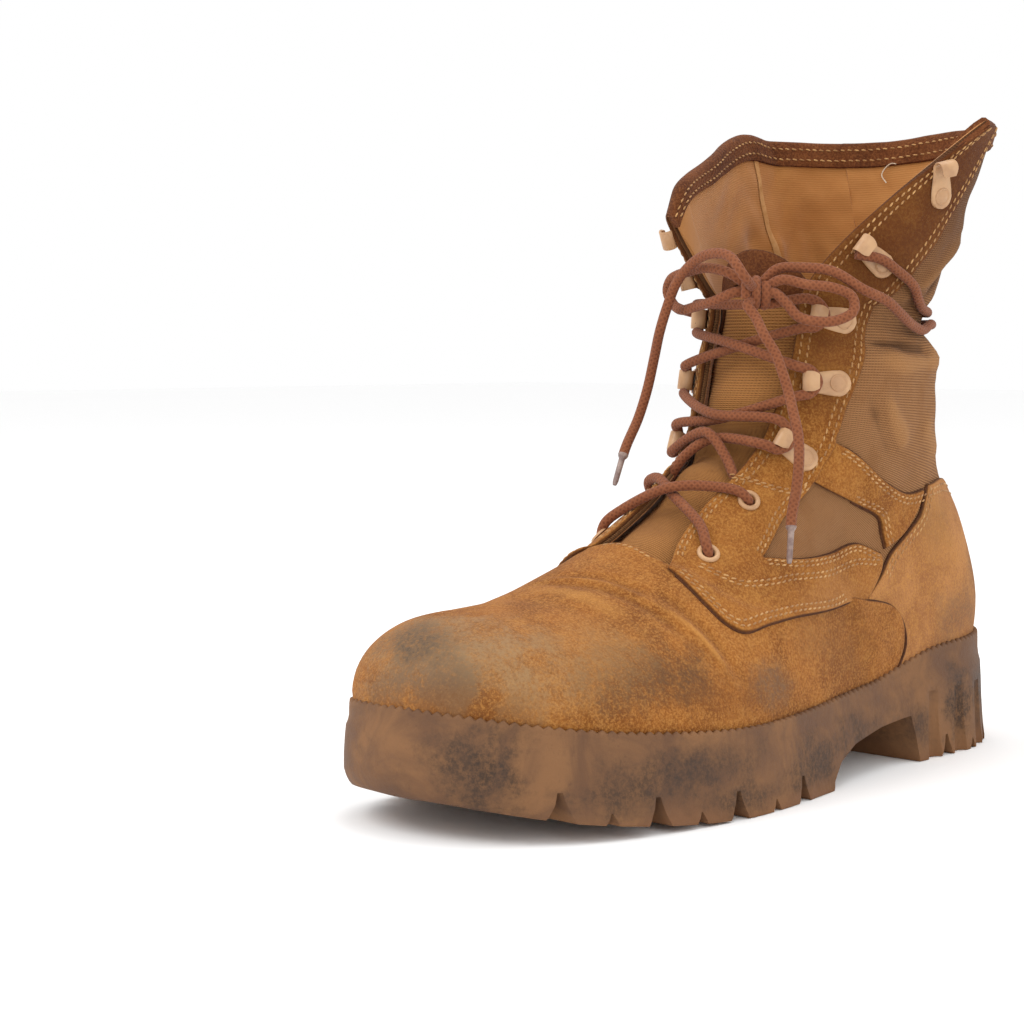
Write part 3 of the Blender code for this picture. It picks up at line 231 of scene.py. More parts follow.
def ring_faces(rings, size, ring_closed=True, rows_closed=False):
    """Quads between rings of points, ring after ring."""
    out = []
    for r in range(rings if rows_closed else rings - 1):
        low, high = r * size, (r + 1) % rings * size
        for k in range(size if ring_closed else size - 1):
            j = (k + 1) % size
            out.append((low + k, low + j, high + j, high + k))
    return out


def pchip(x, xp, yp):
    """Smooth curve through table points that never overshoots them."""
    xp = np.asarray(xp, float)
    yp = np.asarray(yp, float)
    x = np.clip(x, xp[0], xp[-1])
    h = np.diff(xp)
    d = np.diff(yp) / h
    m = np.zeros(len(xp))
    m[0] = d[0]
    m[-1] = d[-1]
    for k in range(1, len(xp) - 1):
        if d[k - 1] * d[k] > 0:
            w1 = 2 * h[k] + h[k - 1]
            w2 = h[k] + 2 * h[k - 1]
            m[k] = (w1 + w2) / (w1 / d[k - 1] + w2 / d[k])
    k = np.clip(np.searchsorted(xp, x) - 1, 0, len(h) - 1)
    t = (x - xp[k]) / h[k]
    low = (2 * t**3 - 3 * t * t + 1) * yp[k] + (t**3 - 2 * t * t + t) * h[k] * m[k]
    return low + (-2 * t**3 + 3 * t * t) * yp[k + 1] + (t**3 - t * t) * h[k] * m[k + 1]


def spline(points, step=1.0, closed=False):
    """Smooth curve through points, centripetal, with points about a step apart."""
    p = np.asarray(points, float)
    if closed:
        q = np.vstack([p[-1:], p, p[:2]])
    else:
        q = np.vstack([2 * p[0] - p[1], p, 2 * p[-1] - p[-2]])
    out = []
    for k in range(1, len(q) - 2):
        p0, p1, p2, p3 = q[k - 1], q[k], q[k + 1], q[k + 2]
        t1 = max(np.linalg.norm(p1 - p0), 1e-6) ** 0.5
        t2 = t1 + max(np.linalg.norm(p2 - p1), 1e-6) ** 0.5
        t3 = t2 + max(np.linalg.norm(p3 - p2), 1e-6) ** 0.5
        n = max(2, int(np.linalg.norm(p2 - p1) / step) + 1)
        t = np.linspace(t1, t2, n, endpoint=False)[:, None]
        a1 = (t1 - t) / t1 * p0 + t / t1 * p1
        a2 = (t2 - t) / (t2 - t1) * p1 + (t - t1) / (t2 - t1) * p2
        a3 = (t3 - t) / (t3 - t2) * p2 + (t - t2) / (t3 - t2) * p3
        b1 = (t2 - t) / t2 * a1 + t / t2 * a2
        b2 = (t3 - t) / (t3 - t1) * a2 + (t - t1) / (t3 - t1) * a3
        out.append((t2 - t) / (t2 - t1) * b1 + (t - t1) / (t2 - t1) * b2)
    if not closed:
        out.append(p[-1:])
    return np.concatenate(out)


def spaced(path, step, closed=False):
    """The same polyline with points evenly spaced."""
    p = np.asarray(path, float)
    if closed:
        p = closed_line(p)
    along = run_along(p)
    n = max(2, int(round(along[-1] / step)))
    t = np.linspace(0, along[-1], n + 1)
    out = np.stack([np.interp(t, along, p[:, k]) for k in range(p.shape[1])], 1)
    return out[:-1] if closed else out


def inward(c):
    """Unit vectors into a closed outline, one for each point."""
    t = unit(np.roll(c, -1, 0) - np.roll(c, 1, 0))
    n = np.stack([-t[:, 1], t[:, 0]], 1)
    return -n if ((np.array([0, LENGTH / 2]) - c) * n).sum() < 0 else n


def outline_loop(inset=0.0):
    """Plan outline (x, s) moved inward; it starts at the toe and runs down the lateral side."""
    k = [K_BALL + (K_HEEL - K_BALL) * min(max((r[0] - 150) / 70, 0), 1) for r in OUTLINE]
    lat = [(r[1] * f, r[0] * K_LEN) for r, f in zip(OUTLINE, k)]
    med = [(r[2] * f, r[0] * K_LEN) for r, f in zip(OUTLINE, k)][1:-1][::-1]
    c = spline(lat + med, 0.8, closed=True)
    return c + inward(c) * inset


def branches(loop):
    """The lateral and the medial side of a closed outline, each from toe to heel."""
    k0 = int(np.argmin(loop[:, 1]))
    k1 = int(np.argmax(loop[:, 1]))
    n = len(loop)
    a = loop[[(k0 + j) % n for j in range((k1 - k0) % n + 1)]]
    b = loop[[(k1 + j) % n for j in range((k0 - k1) % n + 1)]][::-1]
    return (a, b) if a[:, 0].mean() > b[:, 0].mean() else (b, a)


def spring(s):
    """Rise of the forefoot in front of the ball."""
    return TOE_SPRING * (np.clip(BALL_AT - s, 0, None) / BALL_AT) ** 1.8


def feather(s):
    """Height of the sole's top edge."""
    return pchip(s, FEATHER["s"], FEATHER["z"]) + spring(s)


UPPER_PLAN = branches(outline_loop(FEATHER_INSET))


def shoe_distance(x, s, z):
    """Roughly the distance outside the shoe part of the form."""
    lateral, medial = UPPER_PLAN
    se = s + pchip(z, LEAN["z"], LEAN["s"]) * np.clip((s - 180) / 90, 0, 1)
    inside = (se > lateral[0, 1]) & (se < lateral[-1, 1])
    lat = np.interp(se, lateral[:, 1], lateral[:, 0])
    med = np.interp(se, medial[:, 1], medial[:, 0])
    low = feather(s)
    h = np.maximum(pchip(s, RIDGE["s"], RIDGE["z"]) * K_HIGH - low, 0.5)
    q = np.clip((z - low) / h, 0, None)
    middle = (lat + med) / 2
    w = np.maximum((lat - med) / 2, 0.05)
    xc = middle + (pchip(s, RIDGE["s"], RIDGE["x"]) - middle) * np.clip(q, 0, 1) ** 1.5
    u = np.clip(q / 0.25, 0, 1)
    w = w * (0.97 + 0.035 * u * (2 - u))
    g = (np.abs(x - xc) / w) ** pchip(s, RIDGE["s"], RIDGE["nx"]) + q ** pchip(s, RIDGE["s"], RIDGE["nz"])
    return np.where(inside, (g ** 0.5 - 1) * 38.0, 60.0)


def shaft_distance(x, s, z):
    """Roughly the distance outside the shaft part of the form."""
    front = pchip(z / K_HIGH, SHAFT["z"], SHAFT["front"])
    back = pchip(z / K_HIGH, SHAFT["z"], SHAFT["back"])
    w = pchip(z / K_HIGH, SHAFT["z"], SHAFT["w"])
    n = SHAFT_POWER
    g = (np.abs(x) / w) ** n + (np.abs(s - (front + back) / 2) / ((back - front) / 2)) ** n
    return (g ** (1 / n) - 1) * w


def form(x, s, z):
    """Shoe and shaft as one smooth body: negative inside."""
    a = shoe_distance(x, s, z)
    b = shaft_distance(x, s, z)
    h = np.clip(0.5 + 0.5 * (b - a) / BLEND, 0, 1)
    return b + (a - b) * h - BLEND * h * (1 - h)


def fan_exact(i, a):
    """Where the ray of fan section i at angle a (degrees from the ridge) leaves the form."""
    i, a = np.broadcast_arrays(np.asarray(i, float), np.radians(np.asarray(a, float)))
    s0 = pchip(i, FAN["i"], FAN["s"])
    z0 = pchip(i, FAN["i"], FAN["z"]) * K_HIGH
    tilt = np.radians(np.where(i < CONE, 0.0, pchip(i, FAN["i"], FAN["tilt"])))
    cone = np.radians(np.clip(i / CONE, 0, 1) * 90)
    dx = np.sin(cone) * np.sin(a)
    ds = -np.cos(cone) - np.sin(cone) * np.cos(a) * np.sin(tilt)
    dz = np.sin(cone) * np.cos(a) * np.cos(tilt)
    low = np.full(i.shape, 4.0)
    high = np.full(i.shape, 190.0)
    found = np.zeros(i.shape, bool)
    steps = np.linspace(4, 190, 48)
    for r0, r1 in zip(steps[:-1], steps[1:]):
        out = (form(dx * r1, s0 + ds * r1, z0 + dz * r1) > 0) & ~found
        low = np.where(out, r0, low)
        high = np.where(out, r1, high)
        found |= out
    for _ in range(22):
        m = (low + high) / 2
        out = form(dx * m, s0 + ds * m, z0 + dz * m) > 0
        low = np.where(out, low, m)
        high = np.where(out, m, high)
    r = (low + high) / 2
    return np.stack([dx * r, s0 + ds * r, z0 + dz * r], -1)


GRID_STEP = 4.0
GRID = fan_exact(np.arange(0, 405, GRID_STEP)[:, None], np.arange(-180, 180, GRID_STEP)[None, :])


def fan_point(i, a):
    """The form by smooth interpolation in a grid of exact points."""
    i, a = np.broadcast_arrays(np.asarray(i, float), np.asarray(a, float))
    u = np.clip(i / GRID_STEP, 0, GRID.shape[0] - 1.001)
    v = ((a + 180.0) % 360.0) / GRID_STEP
    k = np.floor(u).astype(int)
    j = np.floor(v).astype(int)

    def weights(t):
        return [-0.5 * t + t * t - 0.5 * t**3, 1 - 2.5 * t * t + 1.5 * t**3,
                0.5 * t + 2 * t * t - 1.5 * t**3, -0.5 * t * t + 0.5 * t**3]
    wu = weights(u - k)
    wv = weights(v - j)
    out = 0
    for c in range(4):
        row = np.clip(k + c - 1, 0, GRID.shape[0] - 1)
        for d in range(4):
            out = out + (wu[c] * wv[d])[..., None] * GRID[row, (j + d - 1) % GRID.shape[1]]
    near = np.abs(i - CONE) < 2.2 * GRID_STEP
    if near.any():
        out[near] = fan_exact(i[near], a[near])
    return out


def surface(i, a):
    """Outer surface of the upper: the form, and above the cinch the collar pulled open."""
    i, a = np.broadcast_arrays(np.asarray(i, float), np.asarray(a, float))
    a = (a + 180.0) % 360.0 - 180.0
    base = fan_point(np.minimum(i, CINCH_AT), a)
    v = np.clip((i - CINCH_AT) / (TOP_AT - CINCH_AT), 0, 1)
    f = np.where(a >= 0, (180 - a) / (180 - EDGE_LAT), (-180 - a) / (180 + EDGE_MED))
    f = np.clip(f, -1, 1)
    top = np.stack([pchip(f, COLLAR["f"], COLLAR[k]) for k in "xsz"], -1)
    top[..., 2] *= K_HIGH
    h = (v ** pchip(f, COLLAR_EASE["f"], COLLAR_EASE["p"]))[..., None]
    out = base * (1 - h) + top * h
    out[..., 2] = base[..., 2] + (top[..., 2] - base[..., 2]) * v
    return np.where((i > CINCH_AT)[..., None], out, base)


def base_shape(i, a):
    """The form without the opened collar."""
    return fan_point(np.minimum(i, 400.0), a)


def normals(i, a, shape=surface):
    """Unit outward normals of the surface."""
    i = np.asarray(i, float)
    a = np.asarray(a, float)
    di = np.where(i + 1.5 > TOP_AT, -1.5, 1.5)
    p = shape(i, a)
    u = (shape(i + di, a) - p) * np.sign(di)[..., None]
    v = shape(i, a + 2.0) - shape(i, a - 2.0)
    n = np.cross(v, u)
    return n / (np.linalg.norm(n, axis=-1)[..., None] + 1e-9)


def girth(i):
    """Radius that turns section angles into a chart close to true size."""
    return 46.0 * np.sin(np.clip(np.asarray(i, float) / 60, 0.08, 1) * np.pi / 2)


def to_chart(points):
    p = np.asarray(points, float)
    return np.column_stack([p[:, 0], np.radians(p[:, 1]) * girth(p[:, 0])])


def from_chart(v):
    return v[:, 0], np.degrees(v[:, 1] / girth(v[:, 0]))


def segment_distance(points, line):
    """Distance of chart points to a polyline, and the share along it."""
    best = np.full(len(points), 1e9)
    share = np.zeros(len(points))
    total = np.linalg.norm(np.diff(line, axis=0), axis=1).sum()
    done = 0.0
    for p, q in zip(line[:-1], line[1:]):
        e = q - p
        size = np.linalg.norm(e)
        t = np.clip(((points - p) @ e) / max(size * size, 1e-9), 0, 1)
        d = np.linalg.norm(points - (p + t[:, None] * e), axis=1)
        near = d < best
        best = np.where(near, d, best)
        share = np.where(near, (done + t * size) / total, share)
        done += size
    return best, share


def in_polygon(points, polygon):
    """Which points lie inside the polygon."""
    x, y = points[:, 0], points[:, 1]
    inside = np.zeros(len(points), bool)
    for (x0, y0), (x1, y1) in zip(polygon, np.roll(polygon, -1, 0)):
        if y1 != y0:
            inside ^= ((y0 > y) != (y1 > y)) & (x < (x1 - x0) * (y - y0) / (y1 - y0) + x0)
    return inside


FOLD_LINES = [(height, width, to_chart(spline(points, 6.0))) for height, width, points in FOLDS]


def relief(i, a):
    """Height of the worn-in folds and creases over the form."""
    a = (np.asarray(a, float) + 180.0) % 360.0 - 180.0
    q = to_chart(np.column_stack([i, a]))
    total = np.zeros(len(q))
    for height, width, line in FOLD_LINES:
        low = line.min(0) - 3.5 * width
        high = line.max(0) + 3.5 * width
        for turn in (-360.0, 0.0, 360.0):
            moved = q + np.column_stack([np.zeros(len(q)), np.radians(turn) * girth(q[:, 0])])
            near = ((moved > low) & (moved < high)).all(1)
            if near.any():
                d, share = segment_distance(moved[near], line)
                fade = np.clip(np.minimum(share, 1 - share) / 0.22, 0, 1)
                total[near] += height * np.exp(-(d / width) ** 2) * (0.25 + 0.75 * ease(fade))
    up, round_ = q[:, 0], q[:, 1]
    crumple = np.sin(up * 0.31 + 1.7 * np.sin(round_ * 0.12)) * np.sin(round_ * 0.2 + up * 0.06)
    wave = np.sin(up * 0.11 + round_ * 0.07) * np.sin(round_ * 0.093 - up * 0.05 + 1.1)
    slack = np.clip((up - 230) / 60, 0, 1) * np.clip((np.abs(a) - 45) / 12, 0, 1)
    return total + wave * (0.12 + 0.4 * slack) + crumple * 0.35 * slack


def metres(points):
    p = np.asarray(points, float)
    return np.stack([p[:, 0], p[:, 1] - HEEL_REST_AT, p[:, 2]], 1) * 0.001


def linear(colour):
    """Colour given as 0 to 255 turned into light."""
    c = np.asarray(colour, float) / 255
    return tuple(np.where(c <= 0.04045, c / 12.92, ((c + 0.055) / 1.055) ** 2.4))


class Finish:
    """One procedural material; lengths are metres on Object coordinates or on the piece's UV map."""

    def __init__(self, name, rough=0.8, sheen=0.0, specular=0.5):
        self.mat = bpy.data.materials.new(name)
        self.mat.use_nodes = True
        self.tree = self.mat.node_tree
        self.shader = self.tree.nodes["Principled BSDF"]
        self.shader.inputs["Roughness"].default_value = rough
        self.shader.inputs["Sheen Weight"].default_value = sheen
        self.shader.inputs["Specular IOR Level"].default_value = specular
        coords = self.tree.nodes.new("ShaderNodeTexCoord")
        self.place = coords.outputs["Object"]
        self.uv = coords.outputs["UV"]

    def node(self, kind, values=(), **settings):
        n = self.tree.nodes.new(kind)
        for key, value in settings.items():
            setattr(n, key, value)
        for key, value in values:
            self.put(n.inputs[key], value)
        return n

    def put(self, socket, value):
        if isinstance(value, bpy.types.NodeSocket):
            self.tree.links.new(value, socket)
        elif isinstance(value, (tuple, list)) and socket.type == "RGBA":
            socket.default_value = (*linear(value), 1.0)
        else:
            socket.default_value = value

    def noise(self, scale, detail=4.0, rough=0.6, stretch=None, distort=0.0):
        at = self.place
        if stretch:
            at = self.node("ShaderNodeMapping", [("Vector", at), ("Scale", stretch)]).outputs["Vector"]
        n = self.node("ShaderNodeTexNoise", [("Vector", at), ("Scale", scale), ("Detail", detail),
                                             ("Roughness", rough), ("Distortion", distort)])
        return n.outputs["Fac"]

    def range(self, value, low, high, to_low=0.0, to_high=1.0):
        n = self.node("ShaderNodeMapRange", [("Value", value), ("From Min", low), ("From Max", high),
                                             ("To Min", to_low), ("To Max", to_high)],
                      interpolation_type="SMOOTHSTEP")
        return n.outputs["Result"]

    def sum(self, how, a, b=0.5):
        n = self.node("ShaderNodeMath", operation=how)
        self.put(n.inputs[0], a)
        self.put(n.inputs[1], b)
        return n.outputs["Value"]

    def mix(self, share, a, b):
        n = self.node("ShaderNodeMix", data_type="RGBA", blend_type="MIX")
        self.put(n.inputs["Factor"], share)
        for socket, value in zip([s for s in n.inputs if s.type == "RGBA"], (a, b)):
            self.put(socket, value)
        return [s for s in n.outputs if s.type == "RGBA"][0]

    def spot(self, centre, size, ragged=0.35, scale=60.0):
        """Soft ragged patch round a place x, s, z with its size along each, millimetres."""
        c = metres([centre])[0]
        r = np.asarray(size, float) * 0.001
        moved = self.node("ShaderNodeVectorMath", operation="SUBTRACT")
        self.put(moved.inputs[0], self.place)
        moved.inputs[1].default_value = tuple(c)
        shrunk = self.node("ShaderNodeVectorMath", operation="DIVIDE")
        self.put(shrunk.inputs[0], moved.outputs[0])
        shrunk.inputs[1].default_value = tuple(r)
        away = self.node("ShaderNodeVectorMath", operation="LENGTH")
        self.put(away.inputs[0], shrunk.outputs[0])
        rough = self.range(self.noise(scale, 6.0, 0.7), 0.3, 0.7, -ragged, ragged)
        soft = self.range(self.sum("ADD", away.outputs["Value"], rough), 0.15, 1.3, 1.0, 0.0)
        return self.sum("MULTIPLY", soft, self.range(self.noise(620, 5.0, 0.75), 0.36, 0.62, 0.4, 1.0))

    def higher(self, c, dark, share, low=0.11, high=0.2):
        """Darker and browner toward the collar, higher up the boot."""
        split = self.node("ShaderNodeSeparateXYZ", [("Vector", self.place)])
        return self.mix(self.sum("MULTIPLY", self.range(split.outputs["Z"], low, high), share), c, dark)

    def creases(self, c, pale, dark, share=0.5, top=1.8, trough=0.65):
        """Paler rubbed ridges from the folds, painted shade with dirt in the troughs, and painted shade along the cut
        edges.
        """
        worn = self.node("ShaderNodeAttribute", attribute_name="worn").outputs["Fac"]
        edge = self.node("ShaderNodeAttribute", attribute_name="edge").outputs["Fac"]
        c = self.mix(self.sum("MULTIPLY", self.range(worn, 0.1 * top, top), share), c, pale)
        # fold troughs darker: painted shade, with dirt
        c = self.mix(self.sum("MULTIPLY", self.range(worn, -0.15 * top, -top), trough), c, dark)
        # darker near the piece's cut edge: painted shade
        return self.mix(self.sum("MULTIPLY", self.range(edge, 0.35, 1.0), 0.8), c, dark)

    def ribs(self, axis, turns):
        """Sine wave along one axis of the piece's UV map."""
        split = self.node("ShaderNodeSeparateXYZ", [("Vector", self.uv)])
        return self.sum("MULTIPLY", split.outputs[axis], turns)

    def speckle(self, c, scale, detail, rough, low, high, share, colour):
        """Patches of another colour where a noise lies high."""
        return self.mix(self.sum("MULTIPLY", self.range(self.noise(scale, detail, rough), low, high), share), c, colour)

    def bump(self, parts):
        """Bump from (height, strength, distance) parts, one on the other."""
        normal = None
        for height, strength, distance in parts:
            n = self.node("ShaderNodeBump",
                          [("Height", height), ("Strength", strength), ("Distance", distance)])
            if normal:
                self.put(n.inputs["Normal"], normal)
            normal = n.outputs["Normal"]
        self.put(self.shader.inputs["Normal"], normal)

    def colour(self, value):
        self.put(self.shader.inputs["Base Color"], value)
        return self.mat


def suede(name, stains=(), high=0.0, base=(156, 97, 42), deep=(118, 68, 28), pale=(188, 132, 68)):
    """Golden brown napped leather with brushed patches, scuffs and dirt; painted shade with dirt in fold troughs and
    painted shade along cut edges.
    """
    f = Finish(name, rough=0.95, sheen=0.06, specular=0.08)
    nap = f.noise(1100, 4.0, 0.8)
    brush = f.noise(130, 7.0, 0.75, stretch=(1.0, 0.7, 1.0), distort=0.4)
    patch = f.noise(34, 7.0, 0.7, distort=0.3)
    c = f.mix(f.range(patch, 0.34, 0.62), deep, base)
    c = f.mix(f.sum("MULTIPLY", f.range(brush, 0.46, 0.74), 0.5), c, pale)
    c = f.mix(f.sum("MULTIPLY", f.range(nap, 0.48, 0.6), 0.6), c, pale)
    c = f.mix(f.sum("MULTIPLY", f.range(nap, 0.5, 0.38), 0.55), c, deep)
    for centre, size, colour, share in stains:
        c = f.mix(f.sum("MULTIPLY", f.spot(centre, size), share), c, colour)
    c = f.speckle(c, 420, 4.0, 0.75, 0.58, 0.76, 0.45, (104, 66, 34))
    # paler rubbed ridges; painted shade with dirt in the fold troughs; painted shade at the cut edges
    c = f.creases(c, pale, (70, 38, 20), 0.75, 0.9, 0.22)
    if high:
        c = f.higher(c, (78, 40, 18), high)
    f.bump([(nap, 0.5, 0.0007), (f.noise(520, 5.0, 0.75), 0.5, 0.0009), (brush, 0.25, 0.0012)])
    return f.colour(c)


def ribbed_cloth(name, base, deep, pitch=0.00092, dirt=0.5, high=0.0):
    """Woven nylon with fine ribs across the piece, its UV map in metres."""
    f = Finish(name, rough=0.9, sheen=0.03, specular=0.15)
    turn = 2 * math.pi / pitch
    rib = f.sum("SINE", f.ribs("X", turn))
    pick = f.sum("SINE", f.ribs("Y", turn * 0.8))
    crossed = f.sum("MULTIPLY", f.sum("MULTIPLY", rib, pick), 0.35)
    weave = f.sum("ADD", f.sum("MULTIPLY", rib, 0.5), crossed)
    c = f.mix(f.range(weave, -0.7, 0.6), deep, base)
    cloudy = f.range(f.noise(45, 5.0, 0.6, distort=0.5), 0.45, 0.72)
    c = f.mix(f.sum("MULTIPLY", cloudy, dirt), c, (130, 86, 48))
    c = f.speckle(c, 420, 4.0, 0.7, 0.55, 0.75, 0.3, (98, 62, 34))
    # paler rubbed ridges; painted shade with dirt in the fold troughs; painted shade at the cut edges
    c = f.creases(c, (172, 124, 78), (62, 38, 20))
    c = f.higher(c, (74, 42, 20), high, 0.15, 0.22)
    f.bump([(weave, 0.55, 0.0005), (f.noise(300, 4.0, 0.6), 0.2, 0.0006)])
    return f.colour(c)


def lining_cloth():
    """Light tan lining, finely ribbed."""
    f = Finish("lining cloth", rough=0.9, sheen=0.25, specular=0.2)
    rib = f.sum("SINE", f.ribs("X", 2 * math.pi / 0.0011))
    c = f.mix(f.range(rib, -1.0, 1.0), (172, 116, 62), (184, 128, 72))
    cloudy = f.range(f.noise(28, 4.0, 0.6, distort=0.5), 0.42, 0.7)
    c = f.mix(f.sum("MULTIPLY", cloudy, 0.5), c, (160, 100, 46))
    f.bump([(rib, 0.14, 0.0003), (f.noise(260, 4.0, 0.6), 0.2, 0.0006)])
    return f.colour(c)


# centre x, s, z and size along each, and how much it covers; dirt stains, and at s 200 painted shade under the arch
RUBBER_STAINS_AND_ARCH_SHADE = [
    ((30, 10, 22), (24, 13, 15), 0.9), ((10, 200, 14), (52, 36, 10), 0.75), ((56, 56, 16), (18, 30, 11), 0.75),
    ((58, 90, 20), (14, 26, 8), 0.6), ((60, 100, 6), (18, 34, 6), 0.75), ((56, 150, 10), (18, 20, 12), 0.85),
    ((42, 176, 14), (16, 16, 12), 0.7), ((42, 262, 18), (16, 12, 16), 0.9), ((40, 288, 22), (18, 12, 20), 0.8),
    ((44, 236, 12), (16, 10, 10), 0.6), ((-40, 90, 14), (20, 60, 12), 0.6)]


def sole_rubber():
    """Worn brown rubber: rubbed paler edges, dark stains low down with painted shade under the arch, fine scratches."""
    f = Finish("worn sole rubber", rough=0.72, specular=0.35)
    patch = f.noise(38, 6.0, 0.62, distort=0.7)
    drag = f.noise(90, 6.0, 0.7, stretch=(0.6, 0.6, 1.2), distort=0.6)
    c = f.mix(f.range(patch, 0.36, 0.66), (98, 66, 42), (128, 90, 58))
    c = f.mix(f.sum("MULTIPLY", f.range(drag, 0.5, 0.78), 0.5), c, (80, 57, 41))
    c = f.speckle(c, 210, 5.0, 0.7, 0.56, 0.75, 0.5, (88, 61, 43))
    # dark patches: dirt stains, and painted shade under the arch
    for centre, size, share in RUBBER_STAINS_AND_ARCH_SHADE:
        c = f.mix(f.sum("MULTIPLY", f.spot(centre, size, 0.45, 70.0), share), c, (50, 38, 30))
    split = f.node("ShaderNodeSeparateXYZ", [("Vector", f.place)])
    height = f.sum("ADD", split.outputs["Z"], f.range(patch, 0.3, 0.7, -0.004, 0.004))
    c = f.mix(f.range(height, 0.0, 0.009, 0.75, 0.0), c, (122, 82, 50))
    grime = f.noise(800, 4.0, 0.7)
    f.bump([(f.noise(240, 6.0, 0.7), 0.35, 0.0012), (grime, 0.25, 0.0005)])
    f.put(f.shader.inputs["Roughness"], f.range(patch, 0.3, 0.7, 0.62, 0.85))
    return f.colour(c)


def enamel(name, base):
    """Satin beige paint on metal, rubbed through in specks."""
    f = Finish(name, rough=0.36, specular=0.5)
    wear = f.noise(700, 5.0, 0.75)
    tone = f.noise(160, 3.0, 0.5)
    c = f.mix(f.range(tone, 0.35, 0.7), base, (172, 130, 92))
    c = f.mix(f.range(wear, 0.66, 0.72), c, (104, 76, 54))
    f.bump([(tone, 0.12, 0.0006), (wear, 0.15, 0.0003)])
    f.put(f.shader.inputs["Roughness"], f.range(wear, 0.4, 0.7, 0.3, 0.6))
    return f.colour(c)


def lace_cord():
    """Round braid: crossing strands along the piece's UV map, u round it and v in metres along it."""
    f = Finish("braided lace", rough=0.85, sheen=0.08, specular=0.15)
    around = f.ribs("X", 2 * math.pi * 5)
    along = f.ribs("Y", 2 * math.pi / 0.0021)
    one = f.sum("SINE", f.sum("ADD", around, along))
    two = f.sum("SINE", f.sum("SUBTRACT", around, along))
    braid = f.sum("MAXIMUM", one, two)
    c = f.mix(f.range(braid, -1.0, 1.0), (112, 64, 42), (134, 80, 52))
    c = f.speckle(c, 240, 4.0, 0.7, 0.5, 0.74, 0.4, (158, 100, 66))
    c = f.speckle(c, 60, 4.0, 0.6, 0.5, 0.7, 0.4, (112, 66, 42))
    f.bump([(braid, 0.4, 0.0004), (f.noise(1600, 3.0, 0.6), 0.3, 0.0003)])
    return f.colour(c)


def thread():
    f = Finish("stitching thread", rough=0.8, sheen=0.2, specular=0.25)
    c = f.mix(f.range(f.noise(180, 4.0, 0.7), 0.36, 0.66), (146, 102, 58), (196, 150, 94))
    f.bump([(f.noise(2600, 2.0, 0.6), 0.3, 0.0002)])
    return f.colour(c)


def simple(name, colour, other, rough, scale=300.0):
    f = Finish(name, rough=rough, specular=0.3)
    n = f.noise(scale, 5.0, 0.65)
    f.bump([(n, 0.3, 0.0005)])
    return f.colour(f.mix(f.range(n, 0.35, 0.68), colour, other))


SCUFF = (148, 120, 88)
SMUDGE = (96, 74, 54)
VAMP_STAINS = [
    ((-2, 12, 60), (34, 26, 20), SCUFF, 0.85), ((16, 26, 56), (28, 26, 16), (152, 122, 88), 0.7),
    ((10, 6, 50), (30, 10, 9), (112, 88, 68), 0.8),
    ((-6, 14, 62), (20, 12, 9), (84, 70, 58), 0.85), ((18, 16, 50), (12, 10, 8), (92, 76, 62), 0.75),
    ((34, 28, 50), (22, 22, 13), (158, 126, 88), 0.6), ((46, 62, 52), (16, 24, 14), SMUDGE, 0.62),
    ((50, 84, 48), (16, 20, 12), (94, 66, 44), 0.85), ((20, 8, 42), (34, 22, 9), (120, 78, 44), 0.7),
    ((52, 112, 40), (20, 34, 8), (112, 66, 32), 0.6), ((48, 190, 52), (16, 24, 18), (122, 78, 38), 0.6), ((40, 60, 60), (22, 24, 12), (160, 122, 78), 0.5),
    ((53, 128, 42), (15, 14, 9), (116, 90, 68), 0.75), ((46, 160, 56), (14, 18, 14), (128, 88, 52), 0.55),
    ((-44, 60, 48), (14, 40, 16), SMUDGE, 0.5)]
STAY_STAINS = [
    ((52, 240, 228), (26, 34, 40), (92, 50, 25), 0.9), ((38, 208, 186), (18, 20, 24), (100, 56, 28), 0.75),
    ((40, 176, 64), (16, 22, 12), (176, 122, 70), 0.6), ((44, 206, 62), (14, 24, 12), (172, 118, 66), 0.5),
    ((30, 186, 150), (14, 18, 20), (112, 68, 36), 0.45)]
HEEL_STAINS = [
    ((36, 264, 52), (14, 18, 14), (112, 86, 66), 0.6), ((30, 288, 60), (18, 14, 22), (120, 92, 66), 0.5),
    ((34, 250, 92), (14, 18, 16), (150, 108, 62), 0.5), ((0, 300, 66), (30, 14, 20), (112, 86, 64), 0.5)]
VAMP_SUEDE = suede("vamp suede", VAMP_STAINS)
STAY_SUEDE = suede("quarter suede", STAY_STAINS, 0.62, (156, 98, 43), (124, 72, 30), (182, 128, 64))
COUNTER_SUEDE = suede("counter suede", HEEL_STAINS, base=(179, 124, 74), deep=(148, 96, 56))
BINDING_SUEDE = suede("collar suede", base=(108, 61, 33), deep=(80, 43, 24), pale=(132, 82, 46))
NYLON = ribbed_cloth("ribbed nylon", (164, 118, 76), (112, 75, 47), high=0.7)
TONGUE_NYLON = ribbed_cloth("tongue nylon", (176, 122, 68), (124, 80, 42), 0.001, 0.35)
LINING = lining_cloth()
TAPE = simple("lining tape", (182, 132, 80), (200, 152, 100), 0.85)
RUBBER = sole_rubber()
ENAMEL = enamel("beige enamel", (192, 150, 108))
RIVET = enamel("rivet enamel", (182, 140, 100))
LACE_BRAID = lace_cord()
THREAD = thread()
PALE_THREAD = simple("pale loose thread", (214, 196, 176), (196, 176, 152), 0.7)
# dark tubes that paint the shadow line under lapped cut edges
EDGE_SHADOW = simple("painted edge shadow", (66, 38, 22), (92, 54, 30), 0.95, 900.0)
AGLET = simple("aglet film", (120, 98, 92), (158, 138, 128), 0.35)
INSOLE = simple("insole cloth", (92, 68, 46), (120, 92, 64), 0.95)


def put_in(name, data):
    """New object in the scene."""
    ob = bpy.data.objects.new(name, data)
    bpy.context.scene.collection.objects.link(ob)
    return ob


